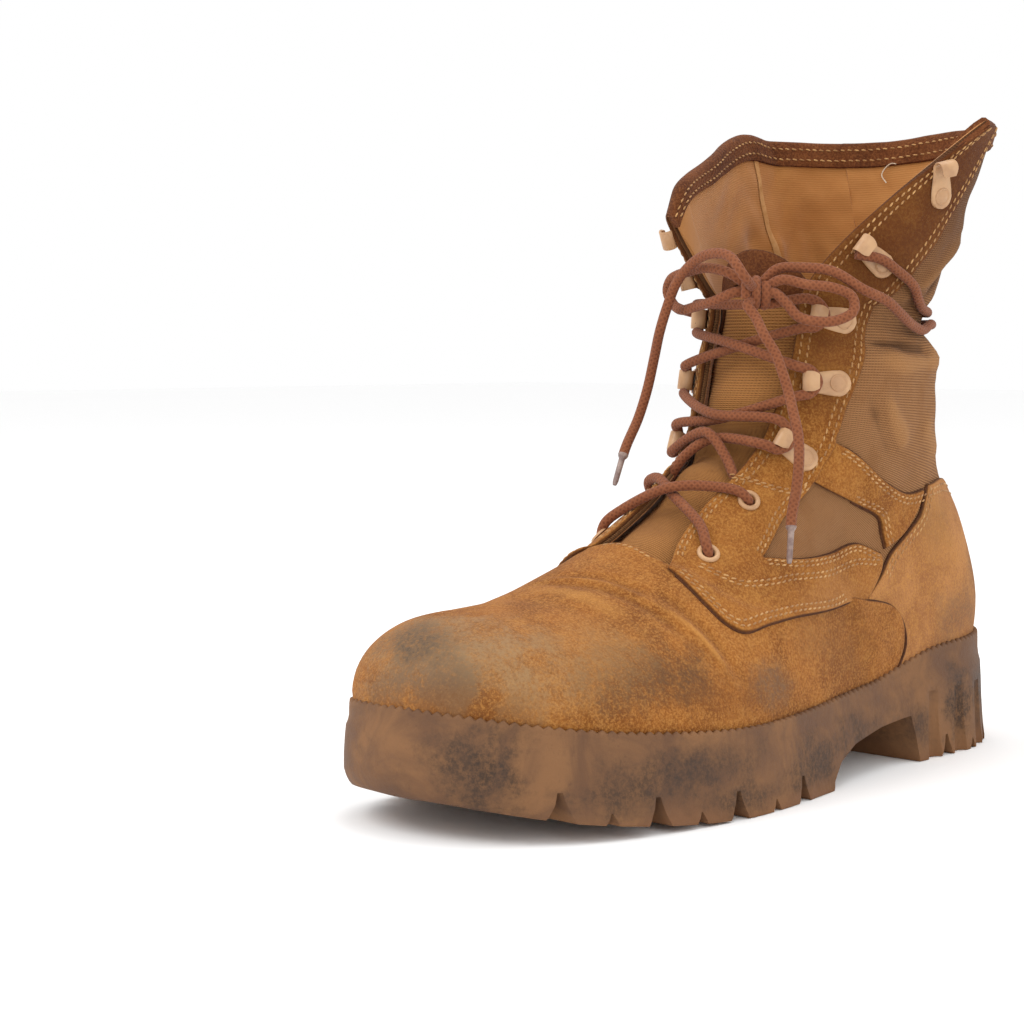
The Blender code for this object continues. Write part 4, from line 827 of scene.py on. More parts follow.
def mesh_piece(name, points, faces, finishes, uv=None, which=None, nodes=(), marks=None, sharp=50):
    """One piece in its place: points in millimetres, an optional UV for each point, finish number by face."""
    mesh = bpy.data.meshes.new(name)
    mesh.from_pydata(metres(points).tolist(), [], [tuple(f) for f in faces])
    for key, values in (marks or {}).items():
        mesh.attributes.new(key, "FLOAT", "POINT").data.foreach_set("value", np.asarray(values, np.float32))
    for mat in finishes:
        mesh.materials.append(mat)
    if which is not None:
        mesh.polygons.foreach_set("material_index", np.asarray(which, np.int32))
    if uv is not None:
        layer = mesh.uv_layers.new(name="UVMap")
        corner = np.zeros(len(mesh.loops), np.int32)
        mesh.loops.foreach_get("vertex_index", corner)
        layer.data.foreach_set("uv", np.asarray(uv, np.float32)[corner].ravel())
    bm = bmesh.new()
    bm.from_mesh(mesh)
    bmesh.ops.remove_doubles(bm, verts=bm.verts, dist=MERGE)
    bmesh.ops.recalc_face_normals(bm, faces=bm.faces)
    if bm.calc_volume(signed=True) < 0:
        bmesh.ops.reverse_faces(bm, faces=bm.faces)
    bm.to_mesh(mesh)
    bm.free()
    mesh.shade_smooth()
    mesh.set_sharp_from_angle(angle=math.radians(sharp))
    return own(put_in(name, mesh), nodes)


def own(ob, nodes=()):
    """The piece rides with the boot and stands for its CAD nodes, which it hides."""
    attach(ob, "root")
    if nodes:
        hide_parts(*nodes)
    return ob


def lattice(step, box):
    """Staggered inner points for a piece of the chart."""
    low, high = box
    out = []
    rows = int((high[0] - low[0]) / (step * 0.866)) + 2
    for r in range(rows):
        y = np.arange(low[1], high[1] + step, step) + (0.5 * step if r % 2 else 0.0)
        out.append(np.column_stack([np.full(len(y), low[0] + r * step * 0.866), y]))
    return np.concatenate(out)


def border_distance(points, loops):
    """Distance to the cut edges; the back seam, where both sides join, is no edge."""
    d = np.full(len(points), 1e9)
    for loop in loops:
        closed = closed_line(loop)
        seam = np.abs(np.abs(from_chart(closed)[1]) - 180.0) < 1e-6
        inside = seam[:-1] & seam[1:]
        runs = np.split(np.arange(len(closed) - 1), np.flatnonzero(np.diff(inside.astype(int))) + 1)
        for run in runs:
            if not inside[run[0]]:
                d = np.minimum(d, segment_distance(points, closed[run[0]:run[-1] + 2])[0])
    return d


def offset_line(line, by):
    """Chart polyline moved sideways."""
    t = np.gradient(line, axis=0)
    t /= np.linalg.norm(t, axis=1)[:, None] + 1e-9
    return line + np.column_stack([-t[:, 1], t[:, 0]]) * by


def triangulate(loops, step, insets=()):
    """Triangles of a border with holes; returns points, faces and each point's distance to the border."""
    box = (loops[0].min(0), loops[0].max(0))
    inner = lattice(step, box)
    inner = inner[in_polygon(inner, loops[0])]
    for hole in loops[1:]:
        inner = inner[~in_polygon(inner, hole)]
    last = insets[-1] if insets else 0.0
    inner = inner[border_distance(inner, loops) > last + step * 0.6]
    inner = inner[(inner[:, 0] < CONE - 1.4) | (inner[:, 0] > CONE + 5.5)]
    inner = inner[np.abs(np.abs(from_chart(inner)[1]) - 180.0) > 1.5]
    rows = []
    for inset in insets:
        for loop in loops:
            closed = np.vstack([loop[-1:], loop, loop[:1]])
            for side in (-inset, inset):
                row = offset_line(closed, side)[1:-1]
                keep = in_polygon(row, loops[0])
                for hole in loops[1:]:
                    keep &= ~in_polygon(row, hole)
                row = row[keep]
                rows.append(row[border_distance(row, loops) > inset * 0.92])
    border = np.concatenate(loops)
    points = np.concatenate([border] + rows + [inner])
    edges = []
    start = 0
    for loop in loops:
        n = len(loop)
        edges += [(start + k, start + (k + 1) % n) for k in range(n)]
        start += n
    result = delaunay_2d_cdt([Vector(p) for p in points.tolist()], edges, [], 0, 1e-6)
    source = np.array([o[0] if o else -1 for o in result[3]])
    v = np.array([tuple(p) for p in result[0]])
    faces = np.array([f for f in result[2] if len(f) == 3])
    c = v[faces]
    area = np.abs((c[:, 1, 0] - c[:, 0, 0]) * (c[:, 2, 1] - c[:, 0, 1])
                  - (c[:, 2, 0] - c[:, 0, 0]) * (c[:, 1, 1] - c[:, 0, 1]))
    keep = (area > 1e-5) & in_polygon(c.mean(1), loops[0])
    for hole in loops[1:]:
        keep &= ~in_polygon(c.mean(1), hole)
    faces = source[faces[keep]]
    faces = faces[(faces >= 0).all(1)]
    return points, faces, border_distance(points, loops)


def loop_of(parts, step):
    """Closed chart border from smooth parts that meet in corners."""
    out = []
    for part in parts:
        line = to_chart(spline(part, 2.0)) if len(part) > 2 else to_chart(part)
        out.append(spaced(line, step)[:-1])
    return np.concatenate(out)


def eyelet_holes(sides):
    """Round holes in the chart where the eyelets pass."""
    angle = np.linspace(0, 2 * math.pi, HOLE_SIDES, endpoint=False)
    ring = EYELET_HOLE * np.column_stack([np.cos(angle), np.sin(angle)])
    return [to_chart([(i, a * side)])[0] + ring for i, a in EYELETS for side in sides]


def lift_over(chart, under):
    """Extra height where a piece lies on others: smooth step over each one's border."""
    total = np.zeros(len(chart))
    for loop, thick, length in under:
        d = segment_distance(chart, closed_line(loop))[0]
        d = np.where(in_polygon(chart, loop), d, -d)
        total += thick * ease(np.clip((d + 2.2) / length, 0, 1))
    return total


def height_on(chart, under=()):
    """Height over the form of the top of a piece at chart points."""
    i, a = from_chart(chart)
    return relief(i, a) + lift_over(chart, under) + SUEDE_OFF + SUEDE_THICK


def panel(name, loops, finish, under=(), off=SUEDE_OFF, thick=SUEDE_THICK, step=SUEDE_STEP,
          shape=surface, nodes=(), extra=None, round_by=EDGE_ROUND, base=None, back=None):
    """Piece of leather or cloth laid on the form, with rounded edges, holes and steps over what it covers."""
    v, faces, d = triangulate(loops, step, (round_by * 0.3, round_by))
    i, a = from_chart(v)
    n = normals(i, a, shape)
    p = shape(i, a)
    rise = (relief(i, a) if base is None else base(i, a)) + lift_over(v, under) + off
    if extra is not None:
        rise = rise + extra(i, a)
    t = np.clip(d / round_by, 0, 1)
    crown = np.sqrt(np.clip(1 - (1 - t) ** 2, 0, 1))
    top = rise + thick * (0.45 + 0.55 * crown)
    low = rise + thick * 0.25 * (1 - crown)
    count = len(v)
    points = np.concatenate([p + n * top[:, None], p + n * low[:, None]])
    out = faces.tolist() + (faces[:, ::-1] + count).tolist()
    which = [0] * len(faces) + [1 if back else 0] * len(faces)
    start = 0
    for loop in loops:
        m = len(loop)
        for k in range(m):
            j = start + (k + 1) % m
            k0 = start + k
            at_seam = abs(abs(a[k0]) - 180) < 1e-6 and abs(abs(a[j]) - 180) < 1e-6
            if at_seam and shape is surface:
                continue
            out += [(k0, j, j + count), (k0, j + count, k0 + count)]
            which += [0, 0]
        start += m
    uv = np.concatenate([v, v]) * 0.001
    # worn: fold height, paler on rubbed ridges and painted shade with dirt in troughs; edge: nearness to the cut edge,
    # where painted shade goes
    worn = relief(i, a) if base is None else np.zeros(count)
    marks = dict(worn=np.concatenate([worn, worn]), edge=np.concatenate([1 - t, 1 - t]))
    finishes = [finish, back] if back else [finish]
    return mesh_piece(name, points, out, finishes, uv, which, nodes, marks)


def repeat_tree(name, finish):
    """Geometry Nodes: a small rounded shape on every point, turned by the point's own directions."""
    tree = bpy.data.node_groups.new(name, "GeometryNodeTree")
    face = tree.interface
    face.new_socket("Geometry", in_out="INPUT", socket_type="NodeSocketGeometry")
    sizes = face.new_socket("Size", in_out="INPUT", socket_type="NodeSocketVector")
    face.new_socket("Geometry", in_out="OUTPUT", socket_type="NodeSocketGeometry")
    add = tree.nodes.new
    link = tree.links.new
    given = add("NodeGroupInput")
    result = add("NodeGroupOutput")
    turn = add("FunctionNodeAxesToRotation")
    turn.primary_axis = "Z"
    turn.secondary_axis = "X"
    for key, axis in (("outward", "Primary Axis"), ("along", "Secondary Axis")):
        way = add("GeometryNodeInputNamedAttribute")
        way.data_type = "FLOAT_VECTOR"
        way.inputs["Name"].default_value = key
        link(way.outputs["Attribute"], turn.inputs[axis])
    shape = add("GeometryNodeMeshUVSphere")
    shape.inputs["Segments"].default_value = 6
    shape.inputs["Rings"].default_value = 5
    shape.inputs["Radius"].default_value = 0.5
    put = add("GeometryNodeInstanceOnPoints")
    real = add("GeometryNodeRealizeInstances")
    smooth = add("GeometryNodeSetShadeSmooth")
    paint = add("GeometryNodeSetMaterial")
    paint.inputs["Material"].default_value = finish
    link(given.outputs["Geometry"], put.inputs["Points"])
    link(shape.outputs["Mesh"], put.inputs["Instance"])
    link(turn.outputs["Rotation"], put.inputs["Rotation"])
    link(given.outputs["Size"], put.inputs["Scale"])
    link(put.outputs["Instances"], real.inputs["Geometry"])
    link(real.outputs["Geometry"], smooth.inputs["Geometry"])
    link(smooth.outputs["Geometry"], paint.inputs["Geometry"])
    link(paint.outputs["Geometry"], result.inputs["Geometry"])
    return tree, sizes.identifier


def repeated(name, places, along, outward, size, finish, slot):
    """Many copies of a small rounded shape as one plain mesh."""
    mesh = bpy.data.meshes.new(name)
    mesh.from_pydata(metres(places).tolist(), [], [])
    for key, value in (("along", along), ("outward", outward)):
        layer = mesh.attributes.new(key, "FLOAT_VECTOR", "POINT")
        layer.data.foreach_set("vector", np.asarray(value, np.float32).ravel())
    ob = put_in(name, mesh)
    tree, identifier = repeat_tree(name + " copies", finish)
    mod = ob.modifiers.new("copies", "NODES")
    mod.node_group = tree
    mod[identifier] = tuple(c * 0.001 for c in size)
    bake(ob)
    return own(ob)


class Rows:
    """Collects stitch rows and makes them in one piece."""

    def __init__(self):
        self.places = []
        self.along = []
        self.outward = []

    def line(self, chart, height, inside=False):
        """Stitches along a chart polyline; height gives their distance over the form."""
        fine = spaced(chart, 0.6)
        i, a = from_chart(fine)
        n = normals(i, a)
        p = surface(i, a) + n * height(fine)[:, None]
        far = run_along(p)
        at = np.arange(STITCH_PITCH * 0.5, far[-1], STITCH_PITCH)
        q = np.stack([np.interp(at, far, p[:, k]) for k in range(3)], 1)
        e = np.stack([np.interp(at + 0.4, far, p[:, k]) for k in range(3)], 1)
        m = np.stack([np.interp(at, far, n[:, k]) for k in range(3)], 1)
        t = e - q
        t /= np.linalg.norm(t, axis=1)[:, None] + 1e-9
        side = np.cross(m, t)
        self.places.append(q)
        self.along.append(t + side * 0.22)
        self.outward.append(-m if inside else m)

    def double(self, points, side, height, first=FIRST_ROW, gap=ROW_GAP):
        """Two rows beside an edge; side is the way to the leather."""
        line = to_chart(spline(points, 2.0))
        for by in (first, first + gap):
            self.line(offset_line(line, side * by), height)

    def make(self, name):
        size = (STITCH_LENGTH, THREAD_WIDE, THREAD_HIGH)
        every = [np.concatenate(part) for part in (self.places, self.along, self.outward)]
        return repeated(name, *every, size, THREAD, "suede")


def mirrored(points):
    return [(i, -a) for i, a in points]


def flipped(side):
    """Points stay as they are on the lateral side and are mirrored on the medial one."""
    return (lambda points: points) if side > 0 else mirrored


def round_the_heel(points):
    """The medial side's points with angles that run on past the back seam."""
    return [(i, 360 - a) for i, a in points]


def edge_chart(points, side):
    """Chart numbers of points along the feather line, found by a local search of the surface."""
    half = LOOK_A > 0 if side > 0 else LOOK_A < 0
    sub = LOOK_P[:, half]
    angles = LOOK_A[half]
    out = []
    for p in points:
        p = np.array(p)
        k = np.unravel_index(np.argmin(((sub - p) ** 2).sum(-1)), sub.shape[:2])
        i, a, span = LOOK_I[k[0]], angles[k[1]], 3.0
        for _ in range(3):
            ii = np.clip(np.linspace(i - span, i + span, 13), 0, TOP_AT)
            aa = np.linspace(a - span, a + span, 13)
            fine = surface(ii[:, None], aa[None, :])
            m = np.unravel_index(np.argmin(((fine - p) ** 2).sum(-1)), fine.shape[:2])
            i, a, span = float(ii[m[0]]), float(aa[m[1]]), span / 5
        out.append((i, a))
    return out


LOOK_I = np.arange(0, TOP_AT + 0.1, 3.0)
LOOK_A = np.arange(-180, 180.1, 3.0)
LOOK_P = surface(LOOK_I[:, None], LOOK_A[None, :])


def feather_line(side, rise, stops):
    """Chart line along the sole's top edge on one side, raised a little."""
    plan = UPPER_PLAN[0] if side > 0 else UPPER_PLAN[1]
    points = [(float(np.interp(s, plan[:, 1], plan[:, 0])), s, float(feather(s)) + rise) for s in stops]
    return edge_chart(points, side)


def ridge_section(low, high, angle, rise, upward):
    """Section whose ray at this angle meets the feather line."""
    for _ in range(30):
        mid = (low + high) / 2
        p = surface(mid, angle)
        if (p[2] > feather(p[1]) + rise) == upward:
            high = mid
        else:
            low = mid
    return high


SINK = -2.0
TOE_STOPS = [4.22, 4.3, 4.45, 4.7, 5.1, 5.7, 7, 9, 12, 16, 20, 25, 30, 36, 42, 50, 58, 66, 75, 85, 95, 106, 118, 130, 142, 154, 166, 178,
             190, 202, 214]
HEEL_STOPS = [206, 216, 226, 238, 250, 262, 272, 281, 289, 295, 300, 304]
TOE_TIP = (ridge_section(2.0, 39.0, 0.0, SINK, True), 0.0)
HEEL_TIP = (ridge_section(200.0, 330.0, 180.0, SINK, True), 180.0)

VAMP_SIDE = [(224, 113), (212, 97), (182, 82), (166, 78), (154, 70), (148, 56), (146, 40), (143, 30)]
VAMP_LOOP = loop_of([
    [TOE_TIP] + feather_line(1, SINK, TOE_STOPS),
    [feather_line(1, SINK, TOE_STOPS)[-1], (216, 143)],
    VAMP_REAR[::-1],
    VAMP_SIDE,
    [(143, 30), (142.5, 18), (143.5, 8), (144.5, -2), (144.5, -12), (143.5, -22), (143, -30)],
    mirrored(VAMP_SIDE)[::-1],
    mirrored(VAMP_REAR),
    [(216, -143), feather_line(-1, SINK, TOE_STOPS)[-1]],
    feather_line(-1, SINK, TOE_STOPS)[::-1] + [TOE_TIP]], 1.7)
COUNTER_LOOP = loop_of([
    feather_line(1, SINK, HEEL_STOPS)[::-1],
    [feather_line(1, SINK, HEEL_STOPS)[0], (214, 138), (214, 126), (222, 112)],
    COUNTER_FRONT,
    COUNTER_TOP + round_the_heel(COUNTER_TOP[:-1])[::-1],
    round_the_heel(COUNTER_FRONT)[::-1],
    [(222, 248), (214, 234), (214, 222)] + [(i, a + 360) for i, a in feather_line(-1, SINK, HEEL_STOPS)[:1]],
    [(i, a + 360) for i, a in feather_line(-1, SINK, HEEL_STOPS)] + [HEEL_TIP]], 1.7)


def stay_loop(side):
    """Border of the stay and quarter on one side, with its window cut away."""
    flip = flipped(side)
    parts = [
        flip([(139.5, 33)] + STAY_EDGE[1:]), flip([(420, 20), (420, 50)]), flip(STAY_BACK[:-1] + [(240, 40.5)]),
        flip(WINDOW[0]), flip(WINDOW[1]), flip([(244, 105), (240, 110.5), (225, 113.5)]),
        flip([(225, 113.5)] + QUARTER_LOW[::-1][1:]), flip([QUARTER_LOW[0], (139.5, 33)])]
    loop = loop_of(parts, 1.7)
    return loop if side > 0 else loop[::-1]


def strap_loop(side):
    """Band from under the stay to the counter across the ankle."""
    flip = flipped(side)
    loop = loop_of([flip(STRAP_TOP), flip([(276, 119), (258, 114), (247, 106)]), flip(STRAP_LOW),
                    flip([(244, 36), (284, 36)])], 1.7)
    return loop if side > 0 else loop[::-1]


def cloth_loop():
    """Border of the whole cloth shell: feather line, back seam, collar, both stay edges, vamp throat."""
    lat = feather_line(1, SINK, TOE_STOPS[::2] + HEEL_STOPS[1:])
    med = feather_line(-1, SINK, TOE_STOPS[::2] + HEEL_STOPS[1:])
    seam = [(HEEL_TIP[0], 180.0)] + [(i, 180.0) for i in np.arange(HEEL_TIP[0] + 4, TOP_AT, CLOTH_STEP)]
    seam.append((TOP_AT, 180.0))
    parts = [np.array([TOE_TIP] + lat + [HEEL_TIP]), seam, [(TOP_AT, 180.0), (TOP_AT, EDGE_LAT)],
             STAY_EDGE[::-1], VAMP_TOP, mirrored(STAY_EDGE), [(TOP_AT, -20.0), (TOP_AT, -180.0)]]
    out = []
    for part in parts:
        if part is seam:
            out.append(to_chart(seam)[:-1])
        else:
            line = to_chart(spline(part, 2.0)) if len(part) > 2 else to_chart(part)
            out.append(spaced(line, CLOTH_STEP)[:-1])
    back = to_chart([(i, -180.0) for i, _ in seam[::-1]])
    out.append(back[:-1])
    low = to_chart(spline([(HEEL_TIP[0], -180.0)] + med[::-1] + [TOE_TIP], 2.0))
    out.append(spaced(low, CLOTH_STEP)[:-1])
    return np.concatenate(out)


def build_shell():
    """Cloth shell with its lining, holed at the eyelets."""
    panel("shell_cloth", [cloth_loop()] + eyelet_holes((1, -1)), NYLON, off=-WALL, thick=WALL,
          step=CLOTH_STEP, nodes=["upper"], back=LINING, round_by=0.7)


def stay_under(side):
    """What the stay with its quarter lies on: border, thickness and length of the step."""
    return [(VAMP_LOOP, SUEDE_THICK, 6.5), (strap_loop(side), SUEDE_THICK * 0.9, 3.5)]


def rear_lap(i, a):
    """The vamp's rear rises over the hidden front of the counter."""
    t = np.clip((i - 206.0) / 12.0, 0, 1) * np.clip((np.abs(a) - 96.0) / 10.0, 0, 1)
    low = 1 - 0.85 * np.clip((np.abs(a) - 131.0) / 9.0, 0, 1)
    return (SUEDE_THICK + 0.25) * ease(t) * low


def build_suede():
    """Vamp, counter, stays with quarters, and ankle straps, each over what it covers."""
    panel("counter_suede", [COUNTER_LOOP], COUNTER_SUEDE, nodes=["counter"])
    panel("vamp_suede", [VAMP_LOOP], VAMP_SUEDE, extra=rear_lap, nodes=["vamp"])
    for side, word in SIDES:
        panel("strap_suede_" + word, [strap_loop(side)], STAY_SUEDE, nodes=["strap_" + word])
        panel("stay_suede_" + word, [stay_loop(side)] + eyelet_holes((side,)), STAY_SUEDE,
              under=stay_under(side), nodes=["stay_" + word])


ON_SUEDE = SUEDE_OFF + SUEDE_THICK


def build_edges():
    """Dark tube painted as the shadow line, with some dirt, where a cut edge lies on the piece below."""
    for side, word in SIDES:
        flip = flipped(side)
        for name, points, height, radius in (
                ("rear", VAMP_REAR[:-1], ON_SUEDE + 0.15, 0.62), ("quarter", QUARTER_LOW, ON_SUEDE + 0.1, 0.55),
                ("counter", COUNTER_FRONT[1:], ON_SUEDE - 1.2, 0.55), ("window_low", WINDOW[1], 0.25, 0.45),
                ("window_top", STRAP_LOW[:-1], 0.3, 0.55), ("strap", STRAP_TOP[1:], 0.25, 0.4)):
            chart = spaced(to_chart(spline(flip(points), 2.0)), 0.9)
            i, a = from_chart(chart)
            line = surface(i, a) + normals(i, a) * (relief(i, a) + height)[:, None]
            tube("edge_" + name + "_" + word, line, radius, EDGE_SHADOW, sides=6)


def on_suede(chart):
    return height_on(chart) + STITCH_SINK


def build_stitches():
    """Double rows along the stays, quarters, straps, counter and throat."""
    rows = Rows()
    for side in (1, -1):
        flip = flipped(side)
        under = stay_under(side)

        def on_stay(chart):
            return height_on(chart, under) + STITCH_SINK
        rows.double(flip(STAY_EDGE[1:]), side, on_stay)
        rows.double(flip(STAY_BACK), side, on_stay)
        rows.double(flip(QUARTER_LOW[::-1][1:]), side, on_stay)
        rows.double(flip(QUARTER_ROW), side, on_stay, first=0.0)
        rows.double(flip(WINDOW[0]), side, on_stay, gap=1.9)
        rows.double(flip(WINDOW[1]), side, on_stay, first=1.6, gap=1.9)
        rows.double(flip(STRAP_TOP[1:]), side, on_suede)
        rows.double(flip(STRAP_LOW[:-1]), side, on_suede)
        rows.double(flip(COUNTER_FRONT[1:]), side, on_suede, first=1.5)
        rows.double(flip(EYELET_ROW), side, on_stay, first=0.0, gap=1.9)
    rows.line(offset_line(to_chart(spline(THROAT_ROW, 2.0)), -1.8), on_suede)
    rows.double(COUNTER_TOP + round_the_heel(COUNTER_TOP[:-1])[::-1], 1, on_suede)
    return rows


def build_binding(rows):
    """Suede strip folded over the collar's edge, stitched inside and outside."""
    low = 409.5
    section = [(low, 0.15), (low + 0.2, 1.25), (low + 1.2, 1.5), (417.5, 1.5), (419.6, 1.3), (420.6, 0.3),
               (420.9, -1.0), (420.6, -2.4), (419.6, -3.3), (417.0, -3.55), (low + 0.4, -3.5), (low - 0.9, -3.3),
               (low - 1.2, -2.1)]
    angles = np.arange(20.2, 338.01, 0.8)
    rings = []
    for i, off in section:
        over = max(i - TOP_AT, 0.0)
        ii = np.full(len(angles), min(i, TOP_AT))
        n = normals(ii, angles)
        p = surface(ii, angles) + n * (off + relief(ii, angles)[:, None] if False else off)
        p = p + n * relief(ii, angles)[:, None]
        up = surface(np.full(len(angles), TOP_AT), angles) - surface(np.full(len(angles), TOP_AT - 4), angles)
        up /= np.linalg.norm(up, axis=1)[:, None]
        rings.append(p + up * over)
    points = np.concatenate(rings)
    m = len(angles)
    count = len(section)
    faces = []
    for r in range(count):
        for k in range(m - 1):
            faces.append((r * m + k, r * m + k + 1, (r + 1) % count * m + k + 1, (r + 1) % count * m + k))
    faces.append(tuple(r * m for r in range(count)))
    faces.append(tuple(r * m + m - 1 for r in range(count))[::-1])
    mesh_piece("collar_strip", points, faces, [BINDING_SUEDE], nodes=["collar_binding"])
    for i in (411.6, 416.8):
        line = to_chart([(i, a) for a in np.arange(52.0, 308.0, 2.0)])
        rows.line(line, lambda c: relief(*from_chart(c)) + 1.58)
        line = to_chart([(i, a) for a in np.arange(22.0, 337.0, 2.0)])
        rows.line(line, lambda c: relief(*from_chart(c)) - 3.62, inside=True)


def build_lining():
    """Back seam tape inside the shaft and the flat edge tape behind the stays."""
    for name, centre, wide, low, high in (("seam_tape", -107.0, 3.6, 300, 409), ("edge_tape", 29.0, 11.0, 170, 409),
                                          ("edge_tape_medial", -29.0, 11.0, 170, 409)):
        half = math.degrees(wide / 2 / 46.0)
        loop = loop_of([[(low, centre - half), (high, centre - half)], [(high, centre - half), (high, centre + half)],
                        [(high, centre + half), (low, centre + half)], [(low, centre + half), (low, centre - half)]], 3.0)
        panel(name, [loop], TAPE if "seam" in name else LINING, off=-WALL - 0.55, thick=0.5, step=3.5,
              round_by=0.9)


def bulge(i, a):
    """Tongue pushed out softly between the lace crossings."""
    crossings = np.array([181, 232, 287, 321])
    d = np.abs(np.asarray(i)[:, None] - crossings[None, :]).min(1)
    across = np.clip(1 - (np.asarray(a) / 24.0) ** 2, 0, 1)
    return across * (np.clip(d / 22, 0, 1) * 2.4 - 0.4) + 0.35 * np.sin(np.asarray(i) * 0.21 + 1) * across


def build_tongue():
    """Ribbed padded tongue between the stays, its dark rounded end standing in the collar."""
    border = [(126, -34), (126, 0), (126, 34), (170, 38), (230, 36), (290, 34), (322, 33), (338, 27), (346, 20),
              (351, 13), (353.5, 7), (354, 0), (353.5, -7), (351, -13), (346, -20), (338, -27), (322, -33), (290, -34),
              (230, -36), (170, -38)]
    loop = spaced(to_chart(spline(border, 2.0, closed=True)), 2.2, closed=True)
    ob = panel("tongue_pad", [loop], TONGUE_NYLON, off=-WALL - 2.4 - TONGUE_THICK, thick=TONGUE_THICK,
               step=2.3, shape=base_shape, nodes=["tongue"], base=lambda i, a: np.zeros(len(i)), extra=bulge,
               round_by=1.6)
    wide = loop_of([[(328, 31), (338, 27.5), (347, 21), (353, 13), (356, 4), (356, -4), (353, -13), (347, -21),
                     (338, -27.5), (328, -31)], [(328, -31), (328, -23)],
                    [(328, -23), (336, -19), (342, -12), (345, -4), (345, 4), (342, 12), (336, 19), (328, 23)],
                    [(328, 23), (328, 31)]], 1.8)
    panel("tongue_trim", [wide], BINDING_SUEDE, off=-WALL - 2.35, thick=1.2, step=2.0, shape=base_shape,
          base=lambda i, a: np.zeros(len(i)), extra=bulge, round_by=0.8)


def turned(i, a, off, spin=0.0):
    """Place on the surface: point, direction to the throat, direction down the edge, normal."""
    i = np.array([float(i)])
    a = np.array([float(a)])
    n = normals(i, a)[0]
    p = surface(i, a)[0] + n * off
    u = (surface(i, a - np.sign(a) * 3) - surface(i, a))[0]
    u -= n * (u @ n)
    u /= np.linalg.norm(u)
    w = np.cross(n, u) * (1.0 if a[0] > 0 else -1.0)
    c, s = math.cos(math.radians(spin)), math.sin(math.radians(spin))
    return p, u * c - w * s, w * c + u * s, n


def seat_height(i, a):
    """Top of the suede under an eyelet or hook."""
    chart = to_chart([(i, a)])
    return float(height_on(chart, stay_under(1 if a > 0 else -1))[0])


def lathe(profile, sides):
    """Points and faces of a closed turned ring or cap: rows of radius and height."""
    angle = np.linspace(0, 2 * math.pi, sides, endpoint=False)
    points = np.concatenate([np.column_stack([r * np.cos(angle), r * np.sin(angle), np.full(sides, h)])
                             for r, h in profile])
    m = len(profile)
    faces = []
    for r in range(m):
        for k in range(sides):
            j = (k + 1) % sides
            faces.append((r * sides + k, r * sides + j, (r + 1) % m * sides + j, (r + 1) % m * sides + k))
    return points, faces


def stand(local, frame_at):
    p, u, w, n = frame_at
    q = np.asarray(local, float)
    return p + q[:, :1] * u + q[:, 1:2] * w + q[:, 2:] * n


def build_eyelets():
    """Rolled cream rings with their barrels through the stay."""
    outer, inner = EYELET_OD / 2, EYELET_ID / 2
    turn = np.linspace(0, math.pi, 9)
    mid = (outer + inner) / 2
    half = (outer - inner) / 2
    profile = [(mid + half * math.cos(t), 0.1 + 0.95 * math.sin(t)) for t in turn]
    profile += [(inner - 0.02, -0.8), (inner - 0.05, -3.4), (inner + 0.35, -3.6), (inner + 0.35, -0.4)]
    for side, word in ((1, "lateral"), (-1, "medial")):
        for k, (i, a) in enumerate(EYELETS):
            points, faces = lathe(profile, 32)
            frame_at = turned(i, a * side, seat_height(i, a * side))
            mesh_piece(f"ring_{word}_{k + 1}", stand(points, frame_at), faces, [ENAMEL],
                       nodes=[f"eyelet_{word}_{k + 1}"])


def hook_plate():
    """Lace hook in its own frame: a tapered plate that curls back over its end."""
    reach = HOOK_LENGTH * 0.6
    line = [(-9.0, 0.55)] + [(u, 0.55) for u in np.linspace(-8.2, reach - 3.4, 12)]
    for t in np.linspace(0.25, math.pi * 0.93, 12):
        line.append((reach - 2.4 + 2.45 * math.sin(t), 0.55 + 2.45 * (1 - math.cos(t))))
    line += [(reach - 3.9, 5.4), (reach - 5.2, 5.5)]
    line = spaced(spline(line, 0.5), 0.55)
    along = np.concatenate([[0], np.cumsum(np.linalg.norm(np.diff(line, axis=0), axis=1))])
    t = np.gradient(line, axis=0)
    t /= np.linalg.norm(t, axis=1)[:, None]
    out = np.column_stack([-t[:, 1], t[:, 0]])
    half = HOOK_WIDTH / 2
    rings = []
    for p, n, far in zip(line, out, along):
        if far < half:
            wide = half * math.sqrt(max(1 - (1 - far / half) ** 2, 0.0)) + 0.15
        else:
            wide = half - (half - 3.75) * min(max((far - half - 1.5) / 7.0, 0), 1) ** 1.2
        if far > along[-1] - 3.2:
            wide *= 1 - 0.3 * ((far - along[-1] + 3.2) / 3.2) ** 2
        thick = 0.45
        ring = []
        for w, h in ((-1, -0.6), (-0.97, 0.1), (-0.88, 1), (0.88, 1), (0.97, 0.1), (1, -0.6), (0.9, -1), (-0.9, -1)):
            q = p + n * thick * h
            ring.append((q[0], wide * w, q[1]))
        rings.append(ring)
    points = np.array(rings).reshape(-1, 3)
    n = len(rings)
    faces = [tuple(range(8))[::-1], tuple(range((n - 1) * 8, n * 8))]
    for r in range(n - 1):
        for k in range(8):
            j = (k + 1) % 8
            faces.append((r * 8 + k, r * 8 + j, (r + 1) * 8 + j, (r + 1) * 8 + k))
    return points, faces


